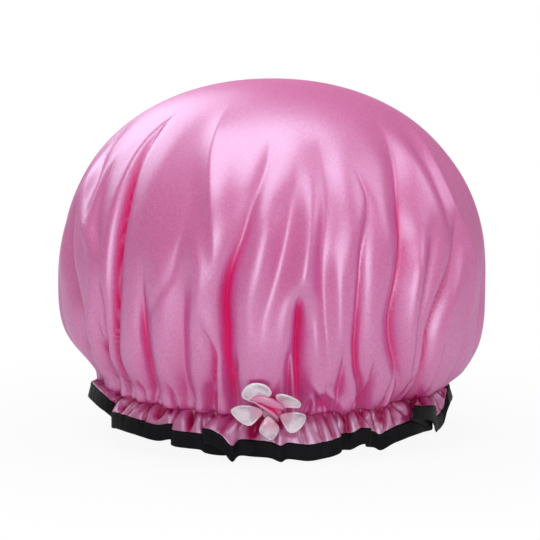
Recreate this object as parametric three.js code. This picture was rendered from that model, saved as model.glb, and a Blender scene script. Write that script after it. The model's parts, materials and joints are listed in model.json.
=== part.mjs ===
// A gathered satin shower cap: a puffed crown over a waterproof lining, drawn in by an elastic band,
// with a frill below the band, a folded ribbon round the hem and a five-petal flower sewn on in front.
// Millimetres, +Z up. The hem stands on z = 0, the crown's axis is the Z axis and the flower faces -Y.
import * as THREE from "three";
import { mergeVertices } from "three/addons/utils/BufferGeometryUtils.js";

// Crown and band
const crownRadius = 118; // widest reach of the folds
const crownRise = 106; // from the widest level up to the top
const crownDrop = 64; // from the widest level down to the gather line
const crownFullness = 2.15; // roundness of the upper profile, where 2 is an ellipse
const crownTuck = 1.75; // roundness of the lower profile, drawn in to the band
const gatherRadius = 92; // over the puckers at the gather line, 578 mm round
const foldDepth = 12; // of the deepest folds, near the widest level
const gatherPucker = 2; // depth of the puckers at the gather line

// Cloth and trimmings
const satinThickness = 0.7;
const liningThickness = 0.5;
const liningHem = 4; // how far the lining runs below the gather line
const elasticWidth = 6;
const elasticThickness = 1.2;
const elasticLap = 14; // overlap of the band's two ends, at the back
const barTackLength = 4.4;
const barTackWidth = 1.6;
const threadDiameter = 0.8;
const zigzagStitches = 60;
const zigzagMargin = 1; // from the zigzag's turns to the edges of the elastic
const clearance = 0.3; // between pieces that lie against each other

// Frill and its ribbon
const frillDrop = 24; // from the gather line to the floor
const frillFlare = 6; // how much further out the hem stands than the gather line
const frillWaves = 24;
const standingArc = 18; // degrees to each side of the front and the back where the hem stands on the floor
const sideLift = 17; // rise of the hem at the cap's sides
const sideSplay = 8; // how much further out the frill stands there
const sidePuff = 2.5; // how far it puffs up there above the gather line
const waveHem = 4.5; // swing of the waves at the hem
const bindingWidth = 8; // of the folded ribbon, as it shows
const bindingThickness = 0.6;
const topstitchInset = 1.5; // from the ribbon's upper edge down to its stitching

// Flower
const flowerHeight = 27; // of its middle above the floor
const flowerTilt = 25; // degrees that its face looks down
const backingRadius = 5;
const backingThickness = 1;
const shankRadius = 1;
const shankDrop = 1.6; // from the gather line down to the middle of the sewing thread
const shankLength = 3; // shortest run of that thread between the frill and the flower
const petalRoot = 4.4; // from the flower's middle to the sewn end of a petal
const petalThickness = 0.8;
const petalCup = 1.2; // rise of a petal's sides above its midline
const petalCurl = 1.6; // how far the tip of a petal bends back
const foldRibbonReach = 7; // from the middle to each end of the folded pink ribbon
const foldRibbonHeight = 5;
const foldRibbonThickness = 1.2;
const foldRibbonSwing = 0.8; // sideways swing of its S
const foldStart = 149.5; // degrees round the flower, between two petals
const foldEnd = 1;

const petalHemGap = 2.8; // from the hanging petal's tip out to the hem ribbon's upper edge

// Each petal's name, direction round the flower, angle that it is lifted at, length and half width.
// The bottom one has no angle of its own: it hangs clear of the hem.
const petals = [
  { name: "petal_upper_right", direction: 32, lift: 9, length: 15, halfWidth: 5.8 },
  { name: "petal_upper_left", direction: 112, lift: 9, length: 16, halfWidth: 6.2 },
  { name: "petal_left", direction: 187, lift: 11, length: 17, halfWidth: 6.2 },
  { name: "petal_bottom", direction: 265, length: 15, halfWidth: 5.8 },
  { name: "petal_right", direction: 330, lift: 11, length: 17, halfWidth: 6 },
];

// Main folds round the crown, from the left of the front on. Each has the reach of its slopes to the sides,
// the degrees round the cap where it meets the gather line, and the stops of its valley above there: level,
// degrees and share of the full depth. Level 1 is the top, 0 the widest level and -1 the gather line, and
// 0 degrees is the front, with the right side of the cap at 90.
const fold = (reach, foot, ...valley) => ({ reach, foot, valley });
const folds = [
  fold(11, -74, [0.42, -77, 0], [0.05, -66, 0.66], [-0.4, -63, 0.74], [-0.72, -69, 0.5]),
  fold(11, -55, [0.85, -53, 0], [0.53, -50, 0.42], [0.25, -47.5, 0.84], [-0.1, -47, 1], [-0.75, -52, 0.5]),
  fold(9, -42, [0.2, -36, 0], [-0.25, -36, 0.68], [-0.6, -37, 0.74], [-0.78, -39, 0.5]),
  fold(10, -29, [0.22, -24, 0], [0, -24, 0.42], [-0.45, -25, 0.58], [-0.78, -27, 0.45]),
  fold(11, -12, [0.8, 0, 0], [0.53, -4.5, 0.38], [0.28, -8, 0.72], [0, -12, 1], [-0.6, -12, 0.8]),
  fold(12, -3, [0.72, 9, 0], [0.53, 6.7, 0.37], [0.28, 3.4, 0.5], [-0.1, -1.5, 0.37], [-0.8, -3, 0.25]),
  fold(9, 9, [0.76, 15, 0], [0.05, 7.6, 0], [-0.18, 8, 1], [-0.6, 7.7, 0.92], [-0.78, 8, 0.5]),
  fold(8, 30, [0.65, 28, 0], [0.4, 28, 0.4], [0.2, 24, 0.68], [-0.4, 22.5, 0.66], [-0.75, 26, 0.45]),
  fold(11, 43, [0.83, 52, 0], [0.53, 42, 0.42], [0.25, 39.5, 0.84], [-0.4, 35, 0.92], [-0.75, 39, 0.5]),
  fold(9, 50, [0.76, 70, 0], [0.34, 62, 0], [0, 53, 0.95], [-0.4, 47.5, 0.88], [-0.75, 48, 0.5]),
  fold(9, 77, [0.16, 81, 0], [-0.25, 78, 0.6], [-0.5, 76, 0.72], [-0.75, 77.5, 0.45]),
  fold(12, 88, [0.76, 100, 0], [0.4, 96, 0.36], [0, 92, 0.5], [-0.75, 89.5, 0.35]),
  fold(11, 114, [0.83, 120, 0], [0.5, 116, 0.42], [0.2, 112.5, 0.66], [-0.3, 112, 0.6], [-0.75, 113, 0.4]),
  fold(10, 125, [0.4, 128, 0], [0, 126, 0.36], [-0.75, 125, 0.36]),
  fold(12, 137, [0.8, 149, 0], [0.5, 144, 0.36], [0, 138.5, 0.56], [-0.75, 138, 0.4]),
  fold(11, 161, [0.76, 169, 0], [0.5, 166, 0.4], [0.1, 163, 0.66], [-0.75, 162, 0.4]),
  fold(10, 174, [0.36, 178, 0], [0, 176.5, 0.36], [-0.75, 175, 0.36]),
  fold(11, 188, [0.85, 202, 0], [0.53, 197, 0.42], [0.3, 193, 0.66], [-0.3, 190, 0.6], [-0.75, 189, 0.4]),
  fold(12, 215, [0.74, 222, 0], [0.4, 218, 0.36], [0, 214, 0.5], [-0.75, 214, 0.36]),
  fold(9, 228, [0.25, 228, 0], [-0.2, 228, 0.34], [-0.75, 228, 0.34]),
  fold(11, 241, [0.83, 250, 0], [0.5, 245, 0.42], [0.2, 241.5, 0.66], [-0.75, 240, 0.4]),
  fold(12, 267, [0.77, 274, 0], [0.4, 270, 0.36], [0, 268, 0.5], [-0.75, 267, 0.36]),
];

const fullTurn = 2 * Math.PI;
const radians = THREE.MathUtils.degToRad;

// Levels worked out from the sizes above
const gatherHeight = frillDrop;
const widestHeight = gatherHeight + crownDrop;
const topHeight = widestHeight + crownRise;
const frontAngle = -Math.PI / 2;
const backAngle = Math.PI / 2;

const material = (color, roughness) => new THREE.MeshStandardMaterial({ color, roughness, metalness: 0 });
const pinkSatin = material(0xdc86b8, 0.35);
const whiteFilm = material(0xefe3ea, 0.3);
const blackRibbon = material(0x15151a, 0.6);
const whiteElastic = material(0xe9e6e2, 0.8);
const pinkThread = material(0xd65a9c, 0.6);
const blackThread = material(0x101014, 0.7);
const whiteSatin = material(0xf0dce8, 0.35);
const rosePink = material(0xe0709f, 0.4);
const pinkFelt = material(0xd9a3bd, 0.9);

// A closed surface from points and triangles, with repeated points welded and its faces turned outwards.
function closedGeometry(points, triangles) {
  const position = new THREE.Float32BufferAttribute(points.flatMap((p) => p.toArray()), 3);
  const loose = new THREE.BufferGeometry().setAttribute("position", position).setIndex(triangles.flat());
  const welded = mergeVertices(loose, 1e-4);
  const kept = [];
  for (let i = 0; i < welded.index.count; i += 3) {
    const [a, b, c] = welded.index.array.slice(i, i + 3);
    if (a !== b && b !== c && c !== a) kept.push([a, b, c]);
  }
  const corner = (i) => new THREE.Vector3().fromBufferAttribute(welded.attributes.position, i);
  const volume = kept.reduce((sum, [a, b, c]) => sum + corner(a).dot(corner(b).cross(corner(c))), 0);
  welded.setIndex(kept.flatMap(([a, b, c]) => (volume < 0 ? [a, c, b] : [a, b, c])));
  welded.computeVertexNormals();
  return welded;
}

// Skins a run of section loops. A ring run joins its last loop to its first, and any other run is capped:
// the first half of a loop's points faces its second half across the thickness, so the caps are strips.
function loft(loops, isRing) {
  const count = loops[0].length;
  const triangles = [];
  const spans = isRing ? loops.length : loops.length - 1;
  for (let i = 0; i < spans; i += 1) {
    const here = i * count;
    const there = ((i + 1) % loops.length) * count;
    for (let k = 0; k < count; k += 1) {
      const next = (k + 1) % count;
      triangles.push([here + k, there + k, there + next], [here + k, there + next, here + next]);
    }
  }
  if (!isRing) {
    const lastLoop = (loops.length - 1) * count;
    for (let k = 0; k < count / 2 - 1; k += 1) {
      const [a, b, c, d] = [k, k + 1, count - 2 - k, count - 1 - k];
      triangles.push([a, b, c], [a, c, d]);
      triangles.push([lastLoop + a, lastLoop + c, lastLoop + b], [lastLoop + a, lastLoop + d, lastLoop + c]);
    }
  }
  return closedGeometry(loops.flat(), triangles);
}

const polar = (radius, angle, z) => new THREE.Vector3(radius * Math.cos(angle), radius * Math.sin(angle), z);
const evenAngles = (count) => Array.from({ length: count }, (_, i) => (i / count) * fullTurn);
const mix = THREE.MathUtils.lerp;

// Outline of the crown over its folds, from the gather line to the top.
function crownProfile(z) {
  if (z >= widestHeight) {
    const up = Math.min(1, (z - widestHeight) / crownRise);
    return crownRadius * (1 - up ** crownFullness) ** (1 / crownFullness);
  }
  const down = Math.min(1, (widestHeight - z) / crownDrop);
  return gatherRadius + (crownRadius - gatherRadius) * (1 - down ** crownTuck) ** (1 / crownTuck);
}

// Levels of the crown's rows of points, closer together where the outline or the folds turn fastest.
const crownLevels = [1, 0.93, 0.755, 0.53, 0.283, 0, -0.25, -0.53, -0.86, -1];
const levelHeight = (level) => widestHeight + level * (level > 0 ? crownRise : crownDrop);

// Where a fold's valley runs at a level, and how deep it is there. Above its upper end it has no depth.
function valleyAt({ valley, foot }, level) {
  const stops = [...valley, [-1, foot, gatherPucker / foldDepth]];
  const next = stops.findIndex(([height]) => height <= level);
  const [high, low] = [stops[Math.max(0, next - 1)], stops[next]];
  const along = high === low ? 0 : (high[0] - level) / (high[0] - low[0]);
  return { degrees: mix(high[1], low[1], along), depth: foldDepth * mix(high[2], low[2], along) };
}

// One row of the crown: each fold's valley between two shoulders on the outline, which stay short of the
// neighbouring folds.
function crownRow(level) {
  const z = levelHeight(level);
  const outline = crownProfile(z);
  const valleys = folds.map((each) => valleyAt(each, level));
  const shoulderShare = 0.42; // of the way to the next valley, at most
  return valleys.flatMap(({ degrees, depth }, i) => {
    const before = valleys.at(i - 1).degrees - (i === 0 ? 360 : 0);
    const after = valleys[(i + 1) % folds.length].degrees + (i === folds.length - 1 ? 360 : 0);
    const slope = THREE.MathUtils.radToDeg(folds[i].reach / outline);
    const spot = (place, inward) => ({ z, radius: outline - inward, angle: frontAngle + radians(place) });
    return [
      spot(degrees - Math.min(slope, shoulderShare * (degrees - before)), 0),
      spot(degrees, depth),
      spot(degrees + Math.min(slope, shoulderShare * (after - degrees)), 0),
    ];
  });
}

// Satin crown: the outline less its folds, with the cloth's thickness inside it.
function satinCrown() {
  const rows = crownLevels.map(crownRow);
  const loops = rows[0].map((_, column) => {
    const line = rows.map((row) => row[column]);
    const outside = line.map(({ z, radius, angle }) => polar(radius, angle, z));
    const inside = line.map(({ z, radius, angle }, i) => {
      if (i === 0) return new THREE.Vector3(0, 0, z - satinThickness);
      return polar(radius - satinThickness, angle, z > widestHeight ? z - satinThickness / 2 : z);
    });
    return [...outside, ...inside.reverse()];
  });
  return loft(loops, true);
}

// Lining: a smooth bag just inside the crown's valleys that runs straight down behind the elastic.
const liningRim = gatherRadius - gatherPucker - satinThickness - clearance;
const deepestFold = (level) => Math.max(...folds.map((each) => valleyAt(each, level).depth));
const liningInset = (level) => deepestFold(level) + satinThickness + clearance;
const liningFloor = gatherHeight - liningHem;

function waterproofLining() {
  const sides = 40;
  const apex = topHeight - satinThickness - clearance;
  const dome = crownLevels.slice(1);
  const outsideRow = (angle) => [
    new THREE.Vector3(0, 0, apex),
    ...dome.map((level) => {
      const z = levelHeight(level);
      return polar(crownProfile(z) - liningInset(level), angle, level > 0 ? z - satinThickness : z);
    }),
    polar(liningRim, angle, liningFloor),
  ];
  const loops = evenAngles(sides).map((angle) => {
    const outside = outsideRow(angle);
    const inside = outside.map((p, i) => {
      const isApex = i === 0;
      const isAbove = p.z > widestHeight;
      const drop = isApex ? liningThickness : isAbove ? liningThickness / 2 : 0;
      return isApex
        ? new THREE.Vector3(0, 0, p.z - drop)
        : polar(Math.hypot(p.x, p.y) - liningThickness, angle, p.z - drop);
    });
    return [...outside, ...inside.reverse()];
  });
  return loft(loops, true);
}

// Elastic band: a flat strip inside the lining, doubled where its ends are lapped at the back.
const elasticOutside = liningRim - liningThickness - clearance;
const elasticInside = elasticOutside - elasticThickness;
const lapInside = elasticInside - elasticThickness;
const lapHalfAngle = elasticLap / 2 / elasticInside;
const elasticLow = gatherHeight - elasticWidth / 2;
const elasticHigh = gatherHeight + elasticWidth / 2;

function elasticBand() {
  const sides = 56;
  const edge = 0.002; // radians across the lap's end faces
  const plain = fullTurn - 2 * lapHalfAngle - 2 * edge;
  const stations = [
    ...[-1, 0, 1].map((side) => ({ angle: backAngle + side * lapHalfAngle, inside: lapInside })),
    ...Array.from({ length: sides + 1 }, (_, i) => ({
      angle: backAngle + lapHalfAngle + edge + (i / sides) * plain,
      inside: elasticInside,
    })),
  ];
  const loops = stations.map(({ angle, inside }) => [
    polar(elasticOutside, angle, elasticLow),
    polar(elasticOutside, angle, elasticHigh),
    polar(inside, angle, elasticHigh),
    polar(inside, angle, elasticLow),
  ]);
  return loft(loops, true);
}

// A thread's four-sided section, seen along its run.
const threadRadius = threadDiameter / 2;
const threadLoop = (radius, angle, z) => [
  polar(radius + threadRadius, angle, z),
  polar(radius, angle, z + threadRadius),
  polar(radius - threadRadius, angle, z),
  polar(radius, angle, z - threadRadius),
];

// Zigzag thread that sews the elastic down, on its inner face from one side of the lap to the other.
function elasticZigzag() {
  const radius = elasticInside - clearance - threadRadius;
  const swing = elasticWidth / 2 - zigzagMargin;
  const gap = (clearance + threadRadius) / radius;
  const run = fullTurn - 2 * (lapHalfAngle + gap);
  const turns = 2 * zigzagStitches;
  const loops = Array.from({ length: turns + 1 }, (_, i) =>
    threadLoop(
      radius,
      backAngle + lapHalfAngle + gap + (i / turns) * run,
      gatherHeight + (i % 2 === 0 ? -swing : swing),
    ),
  );
  return loft(loops, false);
}

// Bar tack that closes the lap: a short bar of thread with round ends, standing on the lap's inner face.
function barTack() {
  const half = barTackLength / 2 - barTackWidth / 2;
  const end = barTackWidth / 2;
  const outline = new THREE.Shape()
    .moveTo(-end, -half)
    .absarc(0, -half, end, Math.PI, fullTurn, false)
    .absarc(0, half, end, 0, Math.PI, false)
    .closePath();
  return new THREE.ExtrudeGeometry(outline, { depth: threadDiameter, bevelEnabled: false, curveSegments: 6 });
}

// How far round to a side an angle is: 0 across the front and the back, where the hem stands, 1 at the sides.
const sideStart = Math.sin(radians(standingArc));
const sideShare = (angle) => THREE.MathUtils.smoothstep(Math.abs(Math.cos(angle)), sideStart, 1);

// Frill: four rows of points down the cloth, each with its reach beyond the gather line, its height and the
// swing of its waves. It hangs straight in front and behind, and splays out and up at the sides.
const waveTop = gatherPucker / 2;
const frillMiddleTop = gatherRadius - satinThickness / 2 - waveTop;
const frillTop = gatherHeight - clearance;
const frillHem = bindingThickness + clearance; // height of the cloth's edge inside the ribbon
const frillHalfway = (frillTop + bindingWidth) / 2;
const puffHeight = gatherHeight + sidePuff;
const frillRows = {
  top: { share: 0, height: frillTop, sideReach: 0, sideHeight: frillTop },
  middle: { share: 0.33, height: frillHalfway, sideReach: 0.85, sideHeight: puffHeight },
  ribbon: { share: 0.67, height: bindingWidth, sideReach: 1, sideHeight: bindingWidth + sideLift },
  hem: { share: 1, height: frillHem, sideReach: 0.75, sideHeight: frillHem + sideLift },
};

// A point of the frill, moved by an offset along the horizontal direction that is square to its waves.
function frillPoint(angle, row, offset) {
  const { share, height, sideReach, sideHeight } = frillRows[row];
  const side = sideShare(angle);
  const swing = mix(waveTop, waveHem, share);
  const middle = frillMiddleTop + frillFlare * share + sideSplay * sideReach * side;
  const radius = middle + swing * Math.cos(frillWaves * angle);
  const slope = -frillWaves * swing * Math.sin(frillWaves * angle);
  const outward = new THREE.Vector2(radius, -slope).normalize(); // along the radius, then along the turn
  return polar(radius, angle, mix(height, sideHeight, side))
    .addScaledVector(polar(1, angle, 0), outward.x * offset)
    .addScaledVector(polar(1, angle + Math.PI / 2, 0), outward.y * offset);
}

const stepsPerWave = 6;
const frillAngles = evenAngles(frillWaves * stepsPerWave);

function satinFrill() {
  const rows = Object.keys(frillRows);
  const half = satinThickness / 2;
  const loops = frillAngles.map((angle) => [
    ...rows.map((row) => frillPoint(angle, row, half)),
    ...rows.toReversed().map((row) => frillPoint(angle, row, -half)),
  ]);
  return loft(loops, true);
}

// Ribbon folded over the hem: two legs that follow the frill's waves, joined under its edge.
const bindingInner = satinThickness / 2 + clearance;
const bindingOuter = bindingInner + bindingThickness;
const lowered = (point, depth) => point.setZ(point.z - depth);

function edgeBinding() {
  const loops = frillAngles.map((angle) => {
    const rim = (offset) => frillPoint(angle, "ribbon", offset);
    const slot = (offset) => lowered(frillPoint(angle, "hem", offset), clearance);
    const underside = (offset) => lowered(frillPoint(angle, "hem", offset), frillHem);
    return [
      rim(bindingInner),
      slot(bindingInner),
      slot(-bindingInner),
      rim(-bindingInner),
      rim(-bindingOuter),
      underside(-bindingOuter),
      underside(bindingOuter),
      rim(bindingOuter),
    ];
  });
  return loft(loops, true);
}

// Topstitching along the ribbon's upper edge.
function bindingTopstitch() {
  const down = topstitchInset / (bindingWidth - frillHem);
  const middle = bindingOuter + clearance + threadRadius;
  const onRibbon = (angle, offset) =>
    frillPoint(angle, "ribbon", offset).lerp(frillPoint(angle, "hem", offset), down);
  const loops = frillAngles.map((angle) => [
    onRibbon(angle, middle + threadRadius),
    lowered(onRibbon(angle, middle), -threadRadius),
    onRibbon(angle, middle - threadRadius),
    lowered(onRibbon(angle, middle), threadRadius),
  ]);
  return loft(loops, true);
}

// Petal: sewn end at the origin, running along +X, face towards +Z, with cupped sides and a curled tip.
function petal({ length, halfWidth }) {
  const stations = [0, 0.2, 0.42, 0.64, 0.84, 0.96, 1];
  const widths = [0.2, 0.42, 0.8, 1, 0.86, 0.5, 0.16];
  const across = [-1, -0.55, 0, 0.55, 1];
  const loops = stations.map((along, i) => {
    const width = widths[i] * halfWidth;
    const face = across.map((side) => {
      const z = petalCup * widths[i] * side * side - petalCurl * along ** 3;
      return new THREE.Vector3(along * length, side * width, z);
    });
    const back = face.map((p) => p.clone().setZ(p.z - petalThickness));
    return [...face, ...back.reverse()];
  });
  return loft(loops, false);
}

// Folded pink ribbon across the flower's middle: a low wall that leaves through two gaps between petals,
// bent in a shallow S on the way and lower at its ends.
function centerFold() {
  const steps = 10;
  const middle = new THREE.Vector2();
  const towards = (degrees, reach) => new THREE.Vector2(reach, 0).rotateAround(middle, radians(degrees));
  const path = new THREE.CubicBezierCurve(
    towards(foldStart, foldRibbonReach),
    towards(foldStart + 90, foldRibbonSwing),
    towards(foldEnd + 90, foldRibbonSwing),
    towards(foldEnd, foldRibbonReach),
  );
  const loops = Array.from({ length: steps + 1 }, (_, i) => {
    const share = i / steps;
    const fall = (2 * share - 1) ** 2;
    const point = path.getPoint(share);
    const ahead = path.getTangent(share);
    const half = (foldRibbonThickness / 2) * (1 - 0.4 * fall);
    const top = foldRibbonHeight * (1 - 0.5 * fall);
    const at = (side, z) => new THREE.Vector3(point.x - ahead.y * side, point.y + ahead.x * side, z);
    return [at(half, 0), at(half * 0.7, top), at(-half * 0.7, top), at(-half, 0)];
  });
  return loft(loops, false);
}

function piece(name, geometry, finish) {
  const mesh = new THREE.Mesh(geometry, finish);
  mesh.name = name;
  return mesh;
}

// Flower: a group whose local +Z is its face and whose +Y points up the cap. It stands just clear of the
// crown at the upper edge of its backing disc, and far enough from the frill for the thread that ties it on.
const tilt = radians(flowerTilt);
const backingTop = flowerHeight + backingRadius * Math.cos(tilt) + backingThickness * Math.sin(tilt);
const crownStand = crownProfile(backingTop) + clearance - backingRadius * Math.sin(tilt);
const shankHeight = gatherHeight - shankDrop;
const fallen = (shankDrop + shankRadius) / frillDrop;
const frillFace = frillMiddleTop + mix(waveTop, waveHem, fallen) + frillFlare * fallen + satinThickness / 2;
const shankStart = frillFace + clearance;
const shankSlope = (flowerHeight - shankHeight + shankRadius) * Math.tan(tilt) + clearance;
const flowerReach = Math.max(crownStand, shankStart + shankLength + shankSlope);
const petalSeat = backingThickness + clearance + petalThickness; // face of a petal's sewn end
const foldSeat = backingThickness + clearance;

function hangingLift(length) {
  const { share } = frillRows.ribbon;
  const ribbonReach = frillMiddleTop + frillFlare * share + mix(waveTop, waveHem, share) + bindingOuter;
  const rootReach = flowerReach + petalSeat * Math.cos(tilt) - petalRoot * Math.sin(tilt);
  return tilt + Math.asin((ribbonReach + petalHemGap + petalCurl - rootReach) / length);
}

function flower() {
  const group = new THREE.Group();
  group.position.copy(polar(flowerReach, frontAngle, flowerHeight));
  group.rotation.x = Math.PI / 2 + tilt;

  const backing = piece(
    "flower_backing",
    new THREE.CylinderGeometry(backingRadius, backingRadius, backingThickness, 20),
    pinkFelt,
  );
  backing.rotation.x = Math.PI / 2;
  backing.position.z = backingThickness / 2;
  group.add(backing);

  const middleFold = piece("flower_center_fold", centerFold(), rosePink);
  middleFold.position.z = foldSeat;
  group.add(middleFold);

  for (const spec of petals) {
    const arm = new THREE.Group();
    arm.rotation.z = radians(spec.direction);
    const leaf = piece(spec.name, petal(spec), whiteSatin);
    leaf.position.set(petalRoot, 0, petalSeat);
    leaf.rotation.y = "lift" in spec ? -radians(spec.lift) : -hangingLift(spec.length);
    arm.add(leaf);
    group.add(arm);
  }
  return group;
}

// Thread shank that ties the flower to the frill just below the gather line.
function flowerShank() {
  const shankEnd = flowerReach - shankSlope;
  const shank = piece(
    "flower_tack_thread",
    new THREE.CylinderGeometry(shankRadius, shankRadius, shankEnd - shankStart, 10),
    pinkThread,
  );
  shank.position.copy(polar((shankStart + shankEnd) / 2, frontAngle, shankHeight));
  return shank;
}

const cap = new THREE.Group();
cap.add(piece("satin_crown", satinCrown(), pinkSatin));
cap.add(piece("waterproof_lining", waterproofLining(), whiteFilm));
cap.add(piece("satin_frill", satinFrill(), pinkSatin));
cap.add(piece("edge_binding", edgeBinding(), blackRibbon));
cap.add(piece("binding_topstitch", bindingTopstitch(), blackThread));
cap.add(piece("elastic_band", elasticBand(), whiteElastic));
cap.add(piece("elastic_zigzag_thread", elasticZigzag(), pinkThread));

const tack = piece("elastic_bar_tack", barTack(), pinkThread);
tack.position.copy(polar(lapInside - clearance, backAngle, gatherHeight));
tack.rotation.x = Math.PI / 2;
cap.add(tack);

cap.add(flowerShank());
cap.add(flower());

export default cap;
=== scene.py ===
import json
import math
import bpy
import numpy as np
from mathutils import Matrix, Vector


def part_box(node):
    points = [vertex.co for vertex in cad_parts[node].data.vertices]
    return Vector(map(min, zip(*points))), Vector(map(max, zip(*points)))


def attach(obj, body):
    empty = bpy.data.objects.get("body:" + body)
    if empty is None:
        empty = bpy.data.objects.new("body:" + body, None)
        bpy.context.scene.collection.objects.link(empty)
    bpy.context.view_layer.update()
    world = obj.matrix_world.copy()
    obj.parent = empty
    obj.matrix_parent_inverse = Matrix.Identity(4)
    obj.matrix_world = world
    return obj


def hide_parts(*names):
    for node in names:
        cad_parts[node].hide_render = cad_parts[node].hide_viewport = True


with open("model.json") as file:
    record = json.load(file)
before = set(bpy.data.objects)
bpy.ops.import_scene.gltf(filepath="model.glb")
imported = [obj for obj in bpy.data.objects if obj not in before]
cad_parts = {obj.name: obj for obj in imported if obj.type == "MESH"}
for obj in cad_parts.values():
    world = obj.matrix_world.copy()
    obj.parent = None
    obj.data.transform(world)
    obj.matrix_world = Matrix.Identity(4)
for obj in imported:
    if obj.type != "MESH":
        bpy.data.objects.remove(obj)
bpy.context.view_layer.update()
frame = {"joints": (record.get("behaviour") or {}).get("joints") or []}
mm = 0.001  # metres
cm = 10  # millimetres
fullTurn = 2 * math.pi


# small helpers

def smooth(low, high, value):
    share = np.clip((value - low) / (high - low), 0, 1)
    return share * share * (3 - 2 * share)


def direction(degrees):  # unit vectors round the cap, 0 at the front and 90 at its right
    turn = np.radians(degrees)
    return np.stack([np.sin(turn), -np.cos(turn), np.zeros_like(turn)], axis=-1)


def placed(reach, degrees, height):  # points round the cap, at a radius and a height
    points = np.asarray(reach)[..., None] * direction(degrees)
    points[..., 2] = height
    return points


def unit(vectors):
    return vectors / np.maximum(np.linalg.norm(vectors, axis=-1, keepdims=True), 1e-9)


def gaps(points):  # from each point of a run, or row of a grid, to the next
    return np.linalg.norm(np.diff(points, axis=0), axis=-1)


def soFar(lengths):
    return np.concatenate([[0], np.cumsum(lengths)])


def makePiece(name, points, faces, cloth=None, deep=None):
    # points in millimetres; cloth gives each point's place on the flat cloth, in centimetres,
    # and deep how far down in a fold it lies, from 0 to 1
    mesh = bpy.data.meshes.new(name)
    mesh.from_pydata((np.asarray(points).reshape(-1, 3) * mm).tolist(), [], faces)
    mesh.update()
    mesh.shade_smooth()
    if cloth is not None:
        flat = np.asarray(cloth).reshape(-1, 2)
        layer = mesh.uv_layers.new(name="cloth")
        corner = np.zeros(len(mesh.loops), np.int32)
        mesh.loops.foreach_get("vertex_index", corner)
        layer.data.foreach_set("uv", flat[corner].astype(np.float32).ravel())
    # deep marks where the satin finishes paint shade into creases; the petals use it for their rim
    if deep is not None:
        mark = mesh.attributes.new("deep", "FLOAT", "POINT")
        mark.data.foreach_set("value", np.asarray(deep, np.float32).ravel())
    piece = bpy.data.objects.new(name, mesh)
    bpy.context.scene.collection.objects.link(piece)
    return piece


def seat(piece, body, slot, finish, *nodes):
    piece.data.materials.clear()
    piece.data.materials.append(finish)
    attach(piece, body)
    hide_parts(*nodes)
    return piece


def thicken(piece, thickness, offset):
    layer = piece.modifiers.new("thickness", "SOLIDIFY")
    layer.thickness = thickness * mm
    layer.offset = offset
    layer.use_rim = True
    layer.use_even_offset = False
    return piece


def ringFaces(rows, columns, start=0, closed=False):
    # quads of a grid that runs round: rows down, columns round
    grid = start + np.arange(rows * columns).reshape(rows, columns)
    below = np.roll(grid, -1, axis=0) if closed else grid[1:]
    above = grid if closed else grid[:-1]
    quads = np.stack([above, below, np.roll(below, -1, axis=1), np.roll(above, -1, axis=1)], axis=-1)
    return quads.reshape(-1, 4).tolist()


def cappedFaces(rows, columns, start=0, turned=False):
    # the same with a face over each end; turned swaps its inside and outside
    last = start + (rows - 1) * columns
    ends = [list(range(start, start + columns)), list(reversed(range(last, last + columns)))]
    faces = ringFaces(rows, columns, start) + ends
    return [face[::-1] for face in faces] if turned else faces


def gridNormals(points):
    around = np.roll(points, -1, axis=1) - np.roll(points, 1, axis=1)
    down = np.gradient(points, axis=0)
    return unit(np.cross(down, around))


# finishes: a wire stands for a socket in a sum, a finish for the nodes of a material or the world

class Wire:
    def __init__(self, finish, socket):
        self.finish = finish
        self.socket = socket

    def reckon(self, operation, left, right):
        return self.finish.node("ShaderNodeMath", {"operation": operation}, {0: left, 1: right})

    def __add__(self, other):
        return self.reckon("ADD", self, other)

    def __radd__(self, other):
        return self.reckon("ADD", other, self)

    def __sub__(self, other):
        return self.reckon("SUBTRACT", self, other)

    def __rsub__(self, other):
        return self.reckon("SUBTRACT", other, self)

    def __mul__(self, other):
        return self.reckon("MULTIPLY", self, other)

    def __rmul__(self, other):
        return self.reckon("MULTIPLY", other, self)


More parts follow.
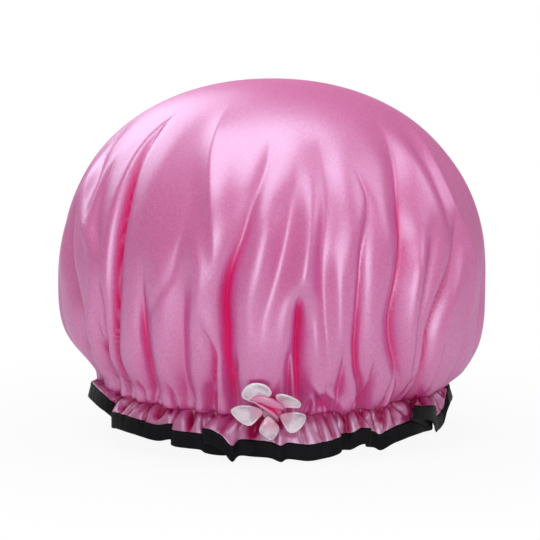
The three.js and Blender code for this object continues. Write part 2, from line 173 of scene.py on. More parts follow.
class Finish:
    def __init__(self, owner):
        owner.use_nodes = True
        self.owner = owner
        self.tree = owner.node_tree
        self.tree.nodes.clear()

    def node(self, kind, settings=None, sockets=None, out=0):
        made = self.tree.nodes.new(kind)
        for name, value in (settings or {}).items():
            setattr(made, name, value)
        for name, value in (sockets or {}).items():
            if isinstance(value, Wire):
                self.tree.links.new(value.socket, made.inputs[name])
            else:
                made.inputs[name].default_value = value
        return Wire(self, made.outputs[out] if made.outputs else None)

    def mixed(self, share, first, second):
        return self.node("ShaderNodeMix", {"data_type": "RGBA"}, {0: share, 6: first, 7: second}, out=2)

    def body(self):  # place on the object, in metres
        return self.node("ShaderNodeTexCoord", out="Object")

    def flatCloth(self, *stretch):
        place = self.node("ShaderNodeUVMap", {"uv_map": "cloth"})
        return self.node("ShaderNodeVectorMath", {"operation": "MULTIPLY"}, {0: place, 1: (*stretch, 1.0)})

    def deep(self):
        return self.node("ShaderNodeAttribute", {"attribute_name": "deep"}, out="Fac")

    def noise(self, place, scale, detail=2.0):
        return self.node("ShaderNodeTexNoise", {}, {"Vector": place, "Scale": scale, "Detail": detail})

    def wave(self, bands, place):
        return self.node("ShaderNodeTexWave", {"bands_direction": bands}, {"Vector": place, "Scale": 1.0})

    def ramp(self, value, low, high, first=0.0, last=1.0):
        return self.node("ShaderNodeMapRange", {"interpolation_type": "SMOOTHSTEP"}, {
            "Value": value, "From Min": low, "From Max": high, "To Min": first, "To Max": last,
        })

    def bump(self, height, strength, distance):
        return self.node(
            "ShaderNodeBump", {}, {"Strength": strength, "Distance": distance * mm, "Height": height}
        )

    def light(self, ray):
        return self.node("ShaderNodeLightPath", out=ray)

    def blend(self, share, first, second):
        return self.node("ShaderNodeMixShader", {}, {0: share, 1: first, 2: second})

    def surface(self, sockets):
        return self.node("ShaderNodeBsdfPrincipled", {}, sockets)

    def show(self, surface, kind="ShaderNodeOutputMaterial"):
        self.node(kind, {}, {"Surface": surface})
        return self.owner


def newFinish(name):
    return Finish(bpy.data.materials.new(name))


satinLook = {
    "colour": (0.73, 0.046, 0.29, 1),
    "paler": (0.91, 0.10, 0.41, 1),
    "deep": (0.88, 0.016, 0.20, 1),  # painted shade for creases, where light only reaches it off the cloth beside it
    "gloss": (0.66, 0.75, 0.94, 1),  # the cooler colour that the smooth floats throw back
    "roughness": 0.38,
    "uneven": 0.12,  # how far the roughness varies along the floats
    "ior": 2.35,
    "sheen": 0.04,
    "sheenTint": (1.0, 0.62, 0.85, 1),
    "floats": (9.0, 34.0),  # finer round the cap than down it, as the warp floats run
    "weave": 900.0,  # scale of the weave's grain
    "weaveEdges": (0.36, 0.64),
    "weaveShare": 0.7,  # of the change from one pink to the other, which a slow cloud fills up
    "cloud": 24.0,
    "relief": 2.2,  # height of the weave against the floats
    "bump": (0.3, 0.14),  # strength and depth
}


def satinFinish(name, look):
    finish = newFinish(name)
    floats = finish.noise(finish.flatCloth(*look["floats"]), 1.0)
    weave = finish.noise(finish.body(), look["weave"])
    grain = finish.ramp(weave, *look["weaveEdges"])
    cloud = finish.noise(finish.body(), look["cloud"])
    share = (1 - look["weaveShare"]) * cloud + look["weaveShare"] * grain
    lit = finish.surface({
        "Base Color": finish.mixed(share, look["colour"], look["paler"]),
        "Roughness": look["roughness"] + look["uneven"] * (floats - 0.5),
        "IOR": look["ior"],
        "Specular IOR Level": 1.0,
        "Specular Tint": look["gloss"],
        "Sheen Weight": look["sheen"],
        "Sheen Roughness": 0.4,
        "Sheen Tint": look["sheenTint"],
        "Normal": finish.bump(floats + look["relief"] * weave, *look["bump"]),
    })
    # painted shade: where deep marks a crease, a crimson, nearly matt surface without highlight takes over
    # from the lit one
    shadePaint = finish.surface({"Base Color": look["deep"], "Roughness": 0.8, "Specular IOR Level": 0.05})
    return finish.show(finish.blend(finish.deep(), lit, shadePaint))


# crown: one round of satin, gathered at its lower edge

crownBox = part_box("satin_crown")
crownLook = {
    "gatherRadius": 92.0,
    "widest": 88.0,  # height of the widest level
    "fullness": 2.15,
    "tuck": 3.0,  # how late the outline turns in towards the band
    "columns": 600,
    "frontShare": 0.3,  # how much closer together the columns stand in front
    "rows": 84,
    "lowShare": 0.6,  # how much closer together the rows lie lower down
    "coarseRows": (14.0, 28.0, 56.0),  # radii inside which the columns are halved, again and again
    "thickness": 0.5,
    "leanRight": 4.6,  # the right side hangs fuller above the band
    "leanHeight": (36, 18),  # where it does so most, and how far up and down that spreads
    "seamLift": 4.0,  # how much higher the gathers ride at the cap's sides
    "liftReach": 45,  # length of cloth over which that dies out
    "seamDepth": 2.2,  # most that the cloth is drawn in at the seam
    "seamSlope": 0.9,  # and how much more for each millimetre above it
    "lobeSwell": 2.2,  # how far the cloth between pleats hangs out and down over the seam
    "lobeSag": 1.8,
    "lobeHeight": 4,  # where a lobe is fullest
    "lobeGap": 2.5,  # depth of fold that takes a lobe down to a third
    "crest": 15,  # percentage of each row that stands at the outline or beyond it
    "creaseWidth": 0.32,  # widths in a fold, as shares of its own
    "creasePeak": 1.3,  # lower is sharper
    "dragWidth": 0.5,
    # painted shade along the creases: how wide it lies, the fold depths where it comes in, and how strong it
    # is
    "creaseShadeWidth": 0.24,
    "creaseShadeDepth": (4, 10),  # fold depths between which the painted shade of a crease comes in
    "dark": 1.9,
    "pleats": 58,  # short folds that run up from the gathers
    "pleatSeed": 11,
    "pleatRise": (10, 50),  # least, and what chance adds
    "pleatDepth": (3.5, 7.0),
    "pleatWidth": (2.4, 3.8),
    "pleatCrease": 0.75,
    "plainFront": (-10, 27),  # degrees between which the pleats stay short
    "slack": 0.15,  # depth of the faint wander of the cloth
    "slackSeed": 5,
    "slackRipples": 14,
    "slackRound": (9, 34),  # waves to a turn
    "slackDown": (0.01, 0.035),  # waves down the cloth and their slant, in radians to a millimetre
    "slackSlant": 0.025,
    "slackTop": (12, 62),  # distances below the top between which it comes in
    # each fold: crease share, skew, sideways drag, then (height, degrees, depth, half width) down its line;
    # a fold with a depth below zero stands out as a ridge
    "folds": (
        (0.7, 0.5, 0, ((176, -52, 0, 5), (166, -52, 4, 5), (151, -50, 8, 6), (135, -48.5, 11, 8),
            (115, -47.5, 12, 8), (91, -47, 12, 8), (64, -48, 11, 7), (40, -52, 8, 5), (24, -55, 2.2, 4))),
        (0, 0, 0, ((172, -84, 0, 10), (160, -80, 2.5, 8), (149, -71, 3, 7), (136, -66, 2, 7),
            (120, -63, 0, 7))),
        (0.3, 0.3, 0, ((158, -63, 0, 6), (150, -62, 2.5, 6), (140, -60.5, 3.5, 6), (127, -59, 3.5, 6),
            (114, -55, 1.5, 5), (104, -53, 0, 5))),
        (0.5, -0.2, 0, ((132, -74, 0, 8), (122, -75, 4, 8), (108, -72, 6, 8), (93, -66, 8, 8),
            (75, -62.5, 9, 7), (58, -63, 9, 6), (39, -70, 6, 5), (24, -74, 2.4, 4))),
        (0, 0, 0, ((130, -70, 0, 5), (120, -62, -2, 5), (110, -55, -2, 5), (88, -55, -1.6, 4),
            (72, -56, -1.5, 4), (55, -58, 0, 4))),
        (0.5, 0, 0, ((94, -52, 0, 5), (80, -51.5, 5, 5), (60, -52, 7, 5), (40, -57, 6, 4),
            (24, -61, 2.4, 4))),
        (0.5, 0, -2, ((110, -36, 0, 9), (90, -36, 4, 8), (74, -36, 8, 7), (52, -36.5, 9, 6),
            (36, -39, 7, 5), (24, -42, 2.4, 4))),
        (0.6, 0, 0, ((132, -23, 0, 5), (115, -25, 1.3, 4), (99, -27, 1.5, 4), (82, -33, 1.3, 4),
            (74, -35, 0, 4))),
        (0.35, 0.3, 0, ((182, -25, 0, 9), (177, -23.5, -1.2, 9), (172, -22, -2.6, 9), (162, -21, -3, 10),
            (153, -19.5, -3, 10), (136, -17, -2.4, 9), (116, -15.2, -1.5, 8), (100, -14.5, 0, 7))),
        (0.2, 0, 0, ((112, -24, 0, 9), (88, -24, 5, 8), (60, -25, 7, 7), (36, -27, 6, 5),
            (24, -29, 2.4, 4))),
        (0, 0, 0, ((128, -20, 0, 5), (118, -20, -1.8, 5), (97, -19, -2, 5), (76, -21, -1.8, 4),
            (60, -22, 0, 4))),
        (0.6, -0.3, 1.5, ((76, -19.5, 0, 4), (67, -17.5, 5, 4.5), (58, -16, 7, 5), (40, -17.5, 7, 4.5),
            (24, -19, 2.4, 4))),
        (0.55, 0, -1.5, ((172, 0, 0, 14), (158, -1.5, 2.5, 13), (141, -5, 4.5, 12), (122, -7.5, 6, 10),
            (106, -10.5, 8, 9), (90, -12, 11.5, 8), (69, -11.5, 12, 8), (50, -12, 10, 7), (35, -12, 7, 6),
            (24, -12, 2.4, 4))),
        (0, 0, 0, ((150, -15, 0, 8), (138, -14.5, -1.5, 8), (121, -14, -2, 7), (104, -15, -1.5, 6),
            (85, -16, 0, 6))),
        (0, 0, 0, ((160, 5, 0, 8), (148, 3.5, -1.5, 8), (126, 0, -2, 7), (98, -2.5, -1.5, 6),
            (80, -4, 0, 6))),
        (0.1, 0, 0, ((164, 9, 0, 13), (150, 7.5, 3.5, 12), (136, 5.5, 5.5, 11), (119, 3.5, 6, 10),
            (98, 0.5, 5.5, 9), (80, -2, 3, 8), (62, -3, 1, 7), (46, -3, 0, 6))),
        (0, 0, 0, ((162, 14.5, 0, 7), (150, 13.5, -2, 7), (126, 11.5, -3, 6), (105, 9, -3, 6),
            (93, 7.6, -2, 6), (88, 7.5, 0, 5))),
        (0.5, 0, -2, ((91, 7.5, 0, 6), (87, 7.6, 7, 6.5), (78, 8, 13, 7), (61, 7.5, 13, 6.5),
            (45, 7.8, 11, 6), (34, 8.2, 8, 5), (24, 9, 2.4, 4))),
        (0.5, 0, 0, ((62, 5, 0, 4), (54, 4.6, 6, 4), (38, 4.6, 7, 4), (24, 5.2, 2.4, 4))),
        (0, 0, 0, ((42, 11.5, 0, 4), (39, 14, -2.8, 3.5), (34, 18.5, -2.8, 3.2), (26, 22, 0, 3))),
        (0.9, -0.3, 0, ((37, 12, 0, 3), (34, 13.2, 7, 3), (30, 15.5, 9, 3), (26.5, 18, 6, 2.8),
            (24, 19.5, 2.4, 2.5))),
        (0.3, 0, 0, ((41, 15.5, 0, 3), (35, 15.5, 5, 3.5), (29, 15.2, 4, 3.5), (24, 15, 1, 3))),
        (0.1, 0, 0, ((172, 18, 0, 10), (158, 17, 2.5, 9), (136, 15, 4, 8), (116, 13, 5, 7),
            (95, 13.5, 6, 7), (75, 14.2, 5, 6), (55, 15, 3, 5), (44, 16, 0, 5))),
        (0.5, -0.2, 0, ((66, 19, 0, 5), (50, 19.6, 5, 5), (36, 20, 7, 5), (24, 20.5, 2.4, 4))),
        (0, 0, 0, ((110, 17.5, 0, 4), (97, 17, -1.5, 4), (60, 17.5, -1.5, 4), (45, 18, 0, 4))),
        (0.6, 0.2, 0, ((156, 27, 0, 6), (146, 28.5, 1.5, 5), (136, 29, 2.5, 5), (130, 27, 3.5, 5),
            (113, 24, 5, 6), (89, 23, 6, 6), (64, 22.5, 7.5, 6), (48, 23.5, 7.5, 5), (32, 27.5, 6, 4),
            (24, 30, 2.4, 4))),
        (0, 0, 0, ((150, 33, 0, 10), (138, 33.5, -1.2, 9), (114, 33.5, -1.8, 7), (93, 33.5, -1.5, 6),
            (75, 31, 0, 6))),
        (0.3, -0.1, 0, ((176, 52, 0, 9), (163, 47.5, 3.5, 9), (146, 42, 6, 9.5), (131, 40, 9, 10),
            (115, 39.5, 11, 9), (103, 37, 10, 7.5), (90, 35, 10, 7), (74, 34, 11, 7), (60, 35, 11, 7),
            (45, 37.5, 8, 6), (24, 43, 2.4, 4))),
        (0, 0, 0, ((172, 56, 0, 9), (160, 53.5, -1.5, 9), (146, 53, -2, 9), (126, 52.5, -2, 8),
            (113, 51, -1, 6), (100, 48, 0, 6))),
        (0, 0, 0, ((176, 68, 0, 9), (160, 60, 2.5, 7), (140, 58, 3, 6), (124, 57, 2, 6), (112, 56, 0, 5))),
        (0, 0, 0, ((116, 43, 0, 5), (105, 42, -2, 5), (85, 40, -2.2, 5), (60, 39.8, -1.5, 4),
            (45, 41, 0, 4))),
        (0.3, 0, 0, ((126, 50, 0, 5), (112, 48.5, 4, 5), (95, 45.5, 5, 5), (75, 43, 5, 5), (50, 43, 4, 4),
            (24, 46, 2.4, 4))),
        (0.5, 0, 0, ((124, 62, 0, 7), (113, 60.5, 6, 7), (102, 57.5, 10, 7), (91, 54, 12, 6.5),
            (82, 50.5, 12, 6.5), (66, 47.5, 11, 6), (47, 47.2, 9, 5), (34, 48.8, 6, 4), (24, 50, 2.4, 4))),
        (0, 0, 0, ((180, 84, 0, 3), (170, 72, -0.8, 3), (147, 63, -1, 3), (129, 62.2, -1.2, 3),
            (112, 66.5, -2, 4), (95, 66.5, -2.5, 5), (79, 65, -2, 5), (63, 61.5, -1.5, 4), (50, 60, 0, 4))),
        (0.5, 0, 0, ((70, 66, 0, 5), (58, 64.5, 6, 5), (40, 63, 6, 4), (24, 65, 2.4, 4))),
        (0.5, 0, 0, ((104, 80, 0, 7), (77, 78, 7, 7), (58, 76, 9, 6), (42, 78, 7, 5), (24, 77, 2.4, 4))),
        # the sides and back, which the photo doesn't show
        (0.3, 0, 0, ((168, 100, 0, 12), (140, 97, 4, 10), (90, 92, 6, 8), (50, 90, 5, 6), (24, 88, 2, 4))),
        (0.4, 0.2, 0, ((110, 105, 0, 7), (80, 104, 4, 6), (50, 103, 4, 5), (24, 103, 2, 4))),
        (0.5, 0.4, 0, ((176, 120, 0, 10), (150, 117, 5, 10), (120, 113, 8, 9), (80, 112, 8, 8),
            (45, 113, 5, 6), (24, 114, 2, 4))),
        (0.1, 0, 0, ((130, 128, 0, 9), (100, 126, 4, 8), (60, 125, 5, 6), (24, 125, 2, 4))),
        (0.2, -0.3, 0, ((172, 149, 0, 13), (150, 145, 4, 12), (120, 140, 6, 10), (80, 138, 7, 8),
            (50, 138, 5, 6), (24, 137, 2, 4))),
        (0.4, 0, 0, ((100, 151, 0, 6), (75, 151, 4, 6), (45, 150, 4, 5), (24, 150, 2, 4))),
        (0.4, 0.3, 0, ((168, 169, 0, 12), (140, 166, 5, 11), (100, 163, 8, 9), (60, 162, 7, 7),
            (24, 161, 2, 4))),
        (0.2, 0, 0, ((126, 178, 0, 8), (95, 177, 4, 7), (55, 175, 5, 6), (24, 174, 2, 4))),
        (0.5, -0.4, 0, ((178, 202, 0, 10), (155, 198, 5, 10), (130, 194, 8, 9), (80, 190, 8, 8),
            (45, 189, 5, 6), (24, 188, 2, 4))),
        (0.2, 0, 0, ((112, 203, 0, 8), (85, 202, 4, 7), (50, 202, 4, 5), (24, 203, 2, 4))),
        (0.2, 0.2, 0, ((166, 222, 0, 13), (140, 219, 4, 12), (100, 214, 6, 9), (55, 214, 5, 6),
            (24, 215, 2, 4))),
        (0.4, 0, 0, ((114, 228, 0, 6), (80, 228, 4, 6), (45, 228, 4, 5), (24, 228, 2, 4))),
        (0.4, -0.3, 0, ((176, 250, 0, 11), (150, 246, 5, 10), (120, 242, 8, 9), (80, 240, 7, 8),
            (45, 240, 5, 6), (24, 241, 2, 4))),
        (0.1, 0, 0, ((134, 256, 0, 9), (100, 254, 4, 8), (60, 253, 5, 6), (24, 253, 2, 4))),
        (0.3, 0.2, 0, ((170, 274, 0, 12), (140, 270, 4, 10), (100, 268, 6, 8), (50, 267, 5, 6),
            (24, 267, 2, 4))),
        (0.4, 0, 0, ((92, 280, 0, 6), (70, 280, 4, 5), (24, 280, 2, 4))),
    ),
}
gatherHeight = crownBox[0].z / mm
topHeight = crownBox[1].z / mm
crownRadius = crownBox[1].x / mm


def crownOutline(rows):
    # radius, height and length so far of each row, from the top down to the gather line
    look = crownLook
    fine = 400  # points on each half of the line
    turn = np.linspace(0, math.pi / 2, fine)
    power = 2 / look["fullness"]
    upper = np.stack([
        np.sin(turn) ** power * crownRadius,
        np.cos(turn) ** power * (topHeight - look["widest"]) + look["widest"],
    ], axis=1)
    drop = np.linspace(0, 1, fine)
    lower = np.stack([
        (crownRadius - look["gatherRadius"]) * (1 - drop ** look["tuck"]) + look["gatherRadius"],
        look["widest"] - (look["widest"] - gatherHeight) * drop,
    ], axis=1)
    line = np.concatenate([upper, lower[1:]])
    length = soFar(gaps(line))
    share = np.linspace(0, 1, rows + 1)[1:]
    share = (1 + look["lowShare"]) * share - look["lowShare"] * share ** 2
    stops = share * length[-1]
    return np.interp(stops, length, line[:, 0]), np.interp(stops, length, line[:, 1]), stops


def eased(values):
    # a short running mean down the rows, so that a fold swells and fades without a kink
    kernel = np.array([1, 3, 5, 6, 5, 3, 1.0])
    held = np.concatenate([[values[0]] * 3, values, [values[-1]] * 3])
    return np.convolve(held, kernel / kernel.sum(), mode="valid")[:, None]


def foldShare(crease, skew, drag, path, radius, height, degrees):
    # how far one fold draws each point of the grid in and aside, and how much painted shade its crease gets
    # there: a narrow crease in a rounded dip
    look = crownLook
    levels = np.array(path, float)[::-1]
    middle, depth, width = (eased(np.interp(height, levels[:, 0], levels[:, k])) for k in (1, 2, 3))
    away = ((degrees - middle + 180) % 360 - 180) * radius[:, None] * math.pi / 180
    share = np.abs(away) / (width * (1 + skew * np.sign(away)))
    sharp = np.exp(-(share / look["creaseWidth"]) ** look["creasePeak"])
    inward = depth * ((1 - crease) * np.exp(-share ** 2) + crease * sharp)
    aside = drag * depth / np.abs(levels[:, 2]).max() * np.exp(-(share / look["dragWidth"]) ** 2)
    dark = look["dark"] * crease * smooth(*look["creaseShadeDepth"], depth)
    return inward, aside, dark * np.exp(-(share / look["creaseShadeWidth"]) ** 2)


def clothSlack(height, degrees):
    # faint long ripples, as cloth that is never quite taut
    look = crownLook
    draw = np.random.default_rng(look["slackSeed"])
    turn = np.radians(degrees)
    level = height[:, None]
    wander = np.zeros((len(height), len(degrees)))
    for k in range(look["slackRipples"]):
        ripple = int(draw.integers(*look["slackRound"]))
        slant = draw.uniform(-look["slackSlant"], look["slackSlant"])
        swell = np.sin(draw.uniform(*look["slackDown"]) * level + draw.uniform(0, fullTurn))
        wander += swell * np.cos(ripple * turn + slant * level + draw.uniform(0, fullTurn))
    return look["slack"] * wander * smooth(*look["slackTop"], topHeight - level)


def gatherPleats():
    # uneven pleats all round that start at the band and run out between the long folds
    look = crownLook
    draw = np.random.default_rng(look["pleatSeed"])
    least, more = look["pleatRise"]
    first, last = look["plainFront"]
    pleats = []
    for k in range(look["pleats"]):
        degrees = (k + draw.uniform(-0.35, 0.35)) * 360 / look["pleats"]
        rise = least + more * draw.random() ** 2
        slip = draw.uniform(-2.0, 2.0)
        depth, width = draw.uniform(*look["pleatDepth"]), draw.uniform(*look["pleatWidth"])
        skew, drag = draw.uniform(-0.3, 0.3), draw.uniform(-1.6, 1.6)
        if first < (degrees + 180) % 360 - 180 < last:
            rise = least
        pleats.append((look["pleatCrease"], skew, drag, (
            (gatherHeight + rise, degrees + slip, 0, 1.4 * width),
            (gatherHeight + 0.5 * rise, degrees + 0.2 * slip, depth, width),
            (gatherHeight + 4, degrees, depth, width),
            (gatherHeight, degrees, look["seamDepth"], 0.8 * width),
        )))
    return pleats


def seamRise(degrees):
    return crownLook["seamLift"] * np.sin(np.radians(degrees)) ** 2


def makeCrown():
    look = crownLook
    radius, height, stops = crownOutline(look["rows"])
    above = stops[-1] - stops
    even = np.arange(look["columns"]) * fullTurn / look["columns"] - math.pi
    degrees = np.degrees(even - look["frontShare"] * np.sin(even))
    fullest, spread = look["leanHeight"]
    lean = look["leanRight"] * np.exp(-(((height - fullest) / spread) ** 2)) * smooth(0, 14, above)
    reach = radius[:, None] + lean[:, None] * np.sin(np.radians(degrees))
    lift = smooth(look["liftReach"], 0, above)[:, None] * seamRise(degrees)
    base = placed(reach, degrees, height[:, None] + lift)
    inward, aside, deep = np.zeros((3, look["rows"], look["columns"]))
    for fold in [*look["folds"], *gatherPleats()]:
        drawn, dragged, dark = foldShare(*fold, radius, height, degrees)
        inward += drawn
        aside += dragged
        # painted shade heaped along each crease
        deep += dark
    inward -= eased(np.percentile(inward, look["crest"], axis=1))
    level = above / look["lobeHeight"]
    lobe = np.exp(-np.clip(inward, 0, None) / look["lobeGap"]) * (level * np.exp(1 - level))[:, None]
    inward += clothSlack(height, degrees)
    room = (look["seamDepth"] + look["seamSlope"] * above)[:, None]  # clear of the lining and the elastic
    inward = room * np.tanh(inward / room)
    free = smooth(0, 25, above)[:, None, None]  # 0 at the band, where the cloth is only drawn in
    outward = unit(free * gridNormals(base) + (1 - free) * direction(degrees))
    points = base - (inward - look["lobeSwell"] * lobe)[..., None] * outward
    points += aside[..., None] * direction(degrees + 90) * smooth(0, 6, above)[:, None, None]
    points[..., 2] -= look["lobeSag"] * lobe
    return points, radius, stops, degrees, inward, np.clip(deep, 0, 1)


def crownMesh(points, radius, stops, degrees, shade):
    # rows near the top keep every second, fourth and eighth column
    rows, columns = points.shape[:2]
    step = np.ones(rows, int)
    for limit in crownLook["coarseRows"]:
        step[radius < limit] *= 2
    index = -np.ones((rows, columns), int)
    kept = [np.array([0, 0, points[0, :, 2].mean() + 0.1])]
    cloth, deep = [(0.0, 0.0)], [0.0]
    for row in range(rows):
        for column in range(0, columns, step[row]):
            index[row, column] = len(kept)
            kept.append(points[row, column])
            cloth.append((stops[row] * math.radians(degrees[column]) / cm, stops[row] / cm))
            deep.append(shade[row, column])
    faces = []
    first = step[0]
    for column in range(0, columns, first):
        faces.append((0, index[0, column], index[0, (column + first) % columns]))
    for row in range(rows - 1):
        wide, narrow = step[row], step[row + 1]
        for column in range(0, columns, wide):
            after = (column + wide) % columns
            under = [index[row + 1, (column + k) % columns] for k in range(0, wide + 1, narrow)]
            faces.append((index[row, column], *under, index[row, after]))
    return makePiece("satinCrown", np.array(kept), [tuple(int(i) for i in f) for f in faces], cloth, deep)


crownPoints, crownRadii, crownStops, crownDegrees, crownInward, crownDeep = makeCrown()
crown = crownMesh(crownPoints, crownRadii, crownStops, crownDegrees, crownDeep)
thicken(crown, crownLook["thickness"], -1)
seat(crown, "cap", "pink_satin", satinFinish("pinkSatin", satinLook), "satin_crown")
print("crown made:", len(crown.data.polygons), "faces")


# frill below the gather line, with its ribbon

frillLook = {
    "columns": 720,
    "rows": 24,
    "ribbonRows": 7,
    "thickness": 0.3,
    "tuck": 0.5,  # how far its top runs in and up under the crown's edge
    "overlap": 0.8,
    "bulge": (3.0, 1.2),  # how far it swells out and up between band and ribbon
    "bunching": 22,  # columns over which the hem's uneven lie spreads at the band
    "folds": 126,
    "foldSeed": 4,
    "foldDepth": (1.6, 4.8),
    "foldWidth": (0.9, 1.9),
    "foldPeak": 1.2,
    "foldEnd": (0.6, 1.3),  # share of the drop at which a fold has run out
    "crest": 25,  # percentage of each row that stays out
    "degreeArc": 1.66,  # millimetres to a degree
    # painted shade in the folds, and in the top half under the crown's edge
    "dark": 0.85,
    "creaseShadeDepth": (0.7, 2.8),  # fold depths between which painted shade comes in
    "shadeUnderCrown": 0.5,
    "ribbonWidth": 8.0,
    "ribbonThickness": 0.25,
    "ribbonSlot": 0.22,  # half the room for the cloth inside the fold
    "edgeRoom": 0.8,  # from the ribbon's fold up to the cloth's edge
    # hem from left to right in front: degrees, reach beyond the band, height of the edge, lean in degrees
    "frontHem": (
        (-88, 7, 19.6, 20), (-80, 10, 21.4, 15), (-72, 11, 21.4, 12), (-62.2, 10, 18, 5),
        (-58.9, 7.5, 14.3, 0), (-58.3, 5, 12, 5), (-58.4, 9, 10.2, 0), (-53.9, 11, 10.9, 3),
        (-45.5, 10.5, 9.8, 5), (-38.3, 10, 8.2, 5), (-35.7, 9, 8.3, 3), (-32.8, 8, 9.4, 0),
        (-31.9, 5.5, 8, 5), (-32, 8.5, 6.4, 0), (-26.5, 10, 6, 5), (-22.2, 8.5, 5.5, 5),
        (-20.8, 7.5, 3.8, 5), (-17, 7.5, 3, 5), (-13.6, 7.5, 3.4, 0), (-16.5, 9, 7, -5),
        (-20.4, 11, 9.2, -10), (-17.5, 12.2, 9.4, -15), (-14.3, 12.5, 6, -10), (-11.6, 12.5, 0.7, -3),
        (-9.9, 9, 3.4, 5), (-6, 8, 3, 10), (-0.6, 9, 2.5, 10), (2.7, 10, 0.5, 8), (4.8, 8.5, 1.8, 10),
        (10.8, 9, 0.6, 10), (15, 9.5, 1.5, 8), (19.4, 9.5, 3, 3), (21.4, 8, 4.4, 0), (20.3, 5.5, 4.8, 5),
        (23.3, 5.5, 4.8, 5), (25.1, 6.5, 4.8, 5), (28.3, 8.5, 7.5, 3), (30.9, 10, 7.3, 0),
        (30.6, 6, 5.6, 5), (33.6, 6, 4.6, 5), (35.6, 7.5, 2.9, 5), (39.7, 8, 5.5, 5), (44.9, 8, 7.2, 5),
        (49.7, 8.5, 8.4, 5), (54.8, 8, 8.7, 5), (60.3, 7.5, 8.6, 0), (54.4, 8.5, 12.2, -5),
        (45.8, 11.5, 17.8, -15), (47.8, 12.5, 17.2, -20), (52.7, 12.5, 16.4, -20), (57.3, 11, 13.3, -10),
        (61.7, 9, 7, 0), (65, 7, 6.5, 0), (70.1, 7, 8.6, 0), (71.4, 8, 13.5, 5), (72.7, 9, 18.5, 10),
        (80, 8, 19.8, 15), (88, 7, 19, 20),
    ),
    # and behind
    "backWaves": 13,
    "backStart": 96,
    "backSpan": 168,
    "backReach": 8,
    "backSwing": (3.6, 1.1),  # how far a wave swings in or out, and how that varies
    "backDrop": 1.6,
    "backLean": (6, 14, 6),  # at the back, more at the sides, and how it varies
    "sideLift": 17.0,
}
# the frill is a single layer of the same satin as the crown; its colours are the crown's darkened, as painted
# shade for the crown's shadow over it
frillShadedSatinLook = dict(
    satinLook, colour=(0.50, 0.016, 0.16, 1), paler=(0.60, 0.034, 0.20, 1), deep=(0.44, 0.003, 0.082, 1),
)


def backHem():
    # the waves that the photographed side doesn't show, from the right round to the left
    look = frillLook
    swing, vary = look["backSwing"]
    lean, sideLean, varyLean = look["backLean"]
    turns = 2 * look["backWaves"] - 1
    hem = []
    for k in range(turns):
        degrees = look["backStart"] + k * look["backSpan"] / (turns - 1) + 1.4 * math.sin(2.1 * k)
        side = smooth(0.31, 1, abs(math.sin(math.radians(degrees))))
        out = (swing + vary * math.sin(1.3 * k)) * (1 if k % 2 else -1) * (1 - 0.6 * side)
        drop = look["backDrop"] * (1 + math.sin(2.7 * k)) * (0.3 + 0.7 * (k % 2))
        tip = lean + sideLean * side + varyLean * math.sin(1.9 * k)
        hem.append((degrees, look["backReach"] + out, look["sideLift"] * side + drop, tip))
    return hem


def hemPoints(run):
    return placed(crownLook["gatherRadius"] + run[:, 1], run[:, 0], run[:, 2])


def stepsRound(points):
    return np.linalg.norm(np.roll(points, -1, axis=0) - points, axis=1)


def evenRing(controls, columns):
    # a closed Catmull-Rom run through the control rows, spaced evenly along the hem
    rows = np.array(controls, float)
    fine = 6000  # places along the run
    knots = soFar(np.sqrt(stepsRound(hemPoints(rows))) * 2)
    lap = np.array([360.0, 0, 0, 0])
    stops = np.concatenate([rows[-2:] - lap, rows, rows[:3] + lap])
    times = np.concatenate([knots[-3:-1] - knots[-1], knots[:-1], knots[:3] + knots[-1]])
    slope = (stops[2:] - stops[:-2]) / (times[2:] - times[:-2])[:, None]
    time = np.linspace(0, knots[-1], fine, endpoint=False)
    spot = np.clip(np.searchsorted(times, time, side="right") - 1, 1, len(rows) + 2)
    span = (times[spot + 1] - times[spot])[:, None]
    t = (time - times[spot])[:, None] / span
    run = (2 * t ** 3 - 3 * t ** 2 + 1) * stops[spot] + (3 * t ** 2 - 2 * t ** 3) * stops[spot + 1]
    run += ((t ** 3 - 2 * t ** 2 + t) * slope[spot - 1] + (t ** 3 - t ** 2) * slope[spot]) * span
    length = soFar(stepsRound(hemPoints(run)))
    run = np.concatenate([run, run[:1] + lap])
    even = np.arange(columns) * length[-1] / columns
    return np.stack([np.interp(even, length, run[:, k]) for k in range(4)], axis=1), length[-1]


def ringBlur(values, width):
    # blurs a run round the ring that gains a full turn
    slope = np.arange(len(values)) * 360 / len(values)
    loose = values - slope
    reach = 4 * width
    kernel = np.exp(-0.5 * (np.arange(-reach, reach + 1) / width) ** 2)
    wrapped = np.concatenate([loose[-reach:], loose, loose[:reach]])
    return np.convolve(wrapped, kernel / kernel.sum(), mode="valid") + slope


def frillFolds(share, degrees):
    # narrow folds that hang from the band and run out towards the ribbon
    look = frillLook
    draw = np.random.default_rng(look["foldSeed"])
    inward = np.zeros((len(share), len(degrees)))
    for k in range(look["folds"]):
        middle = (k + draw.uniform(-0.4, 0.4)) * 360 / look["folds"]
        middle = middle + draw.uniform(-1.5, 1.5) * share[:, None]
        away = np.abs((degrees - middle + 180) % 360 - 180) * look["degreeArc"]
        end = draw.uniform(*look["foldEnd"])
        along = smooth(0, 0.2, share) * (1 - 0.9 * smooth(end - 0.5, end, share))
        depth, width = draw.uniform(*look["foldDepth"]), draw.uniform(*look["foldWidth"])
        inward += depth * along[:, None] * np.exp(-(away / width) ** look["foldPeak"])
    return inward - np.percentile(inward, look["crest"], axis=1)[:, None]


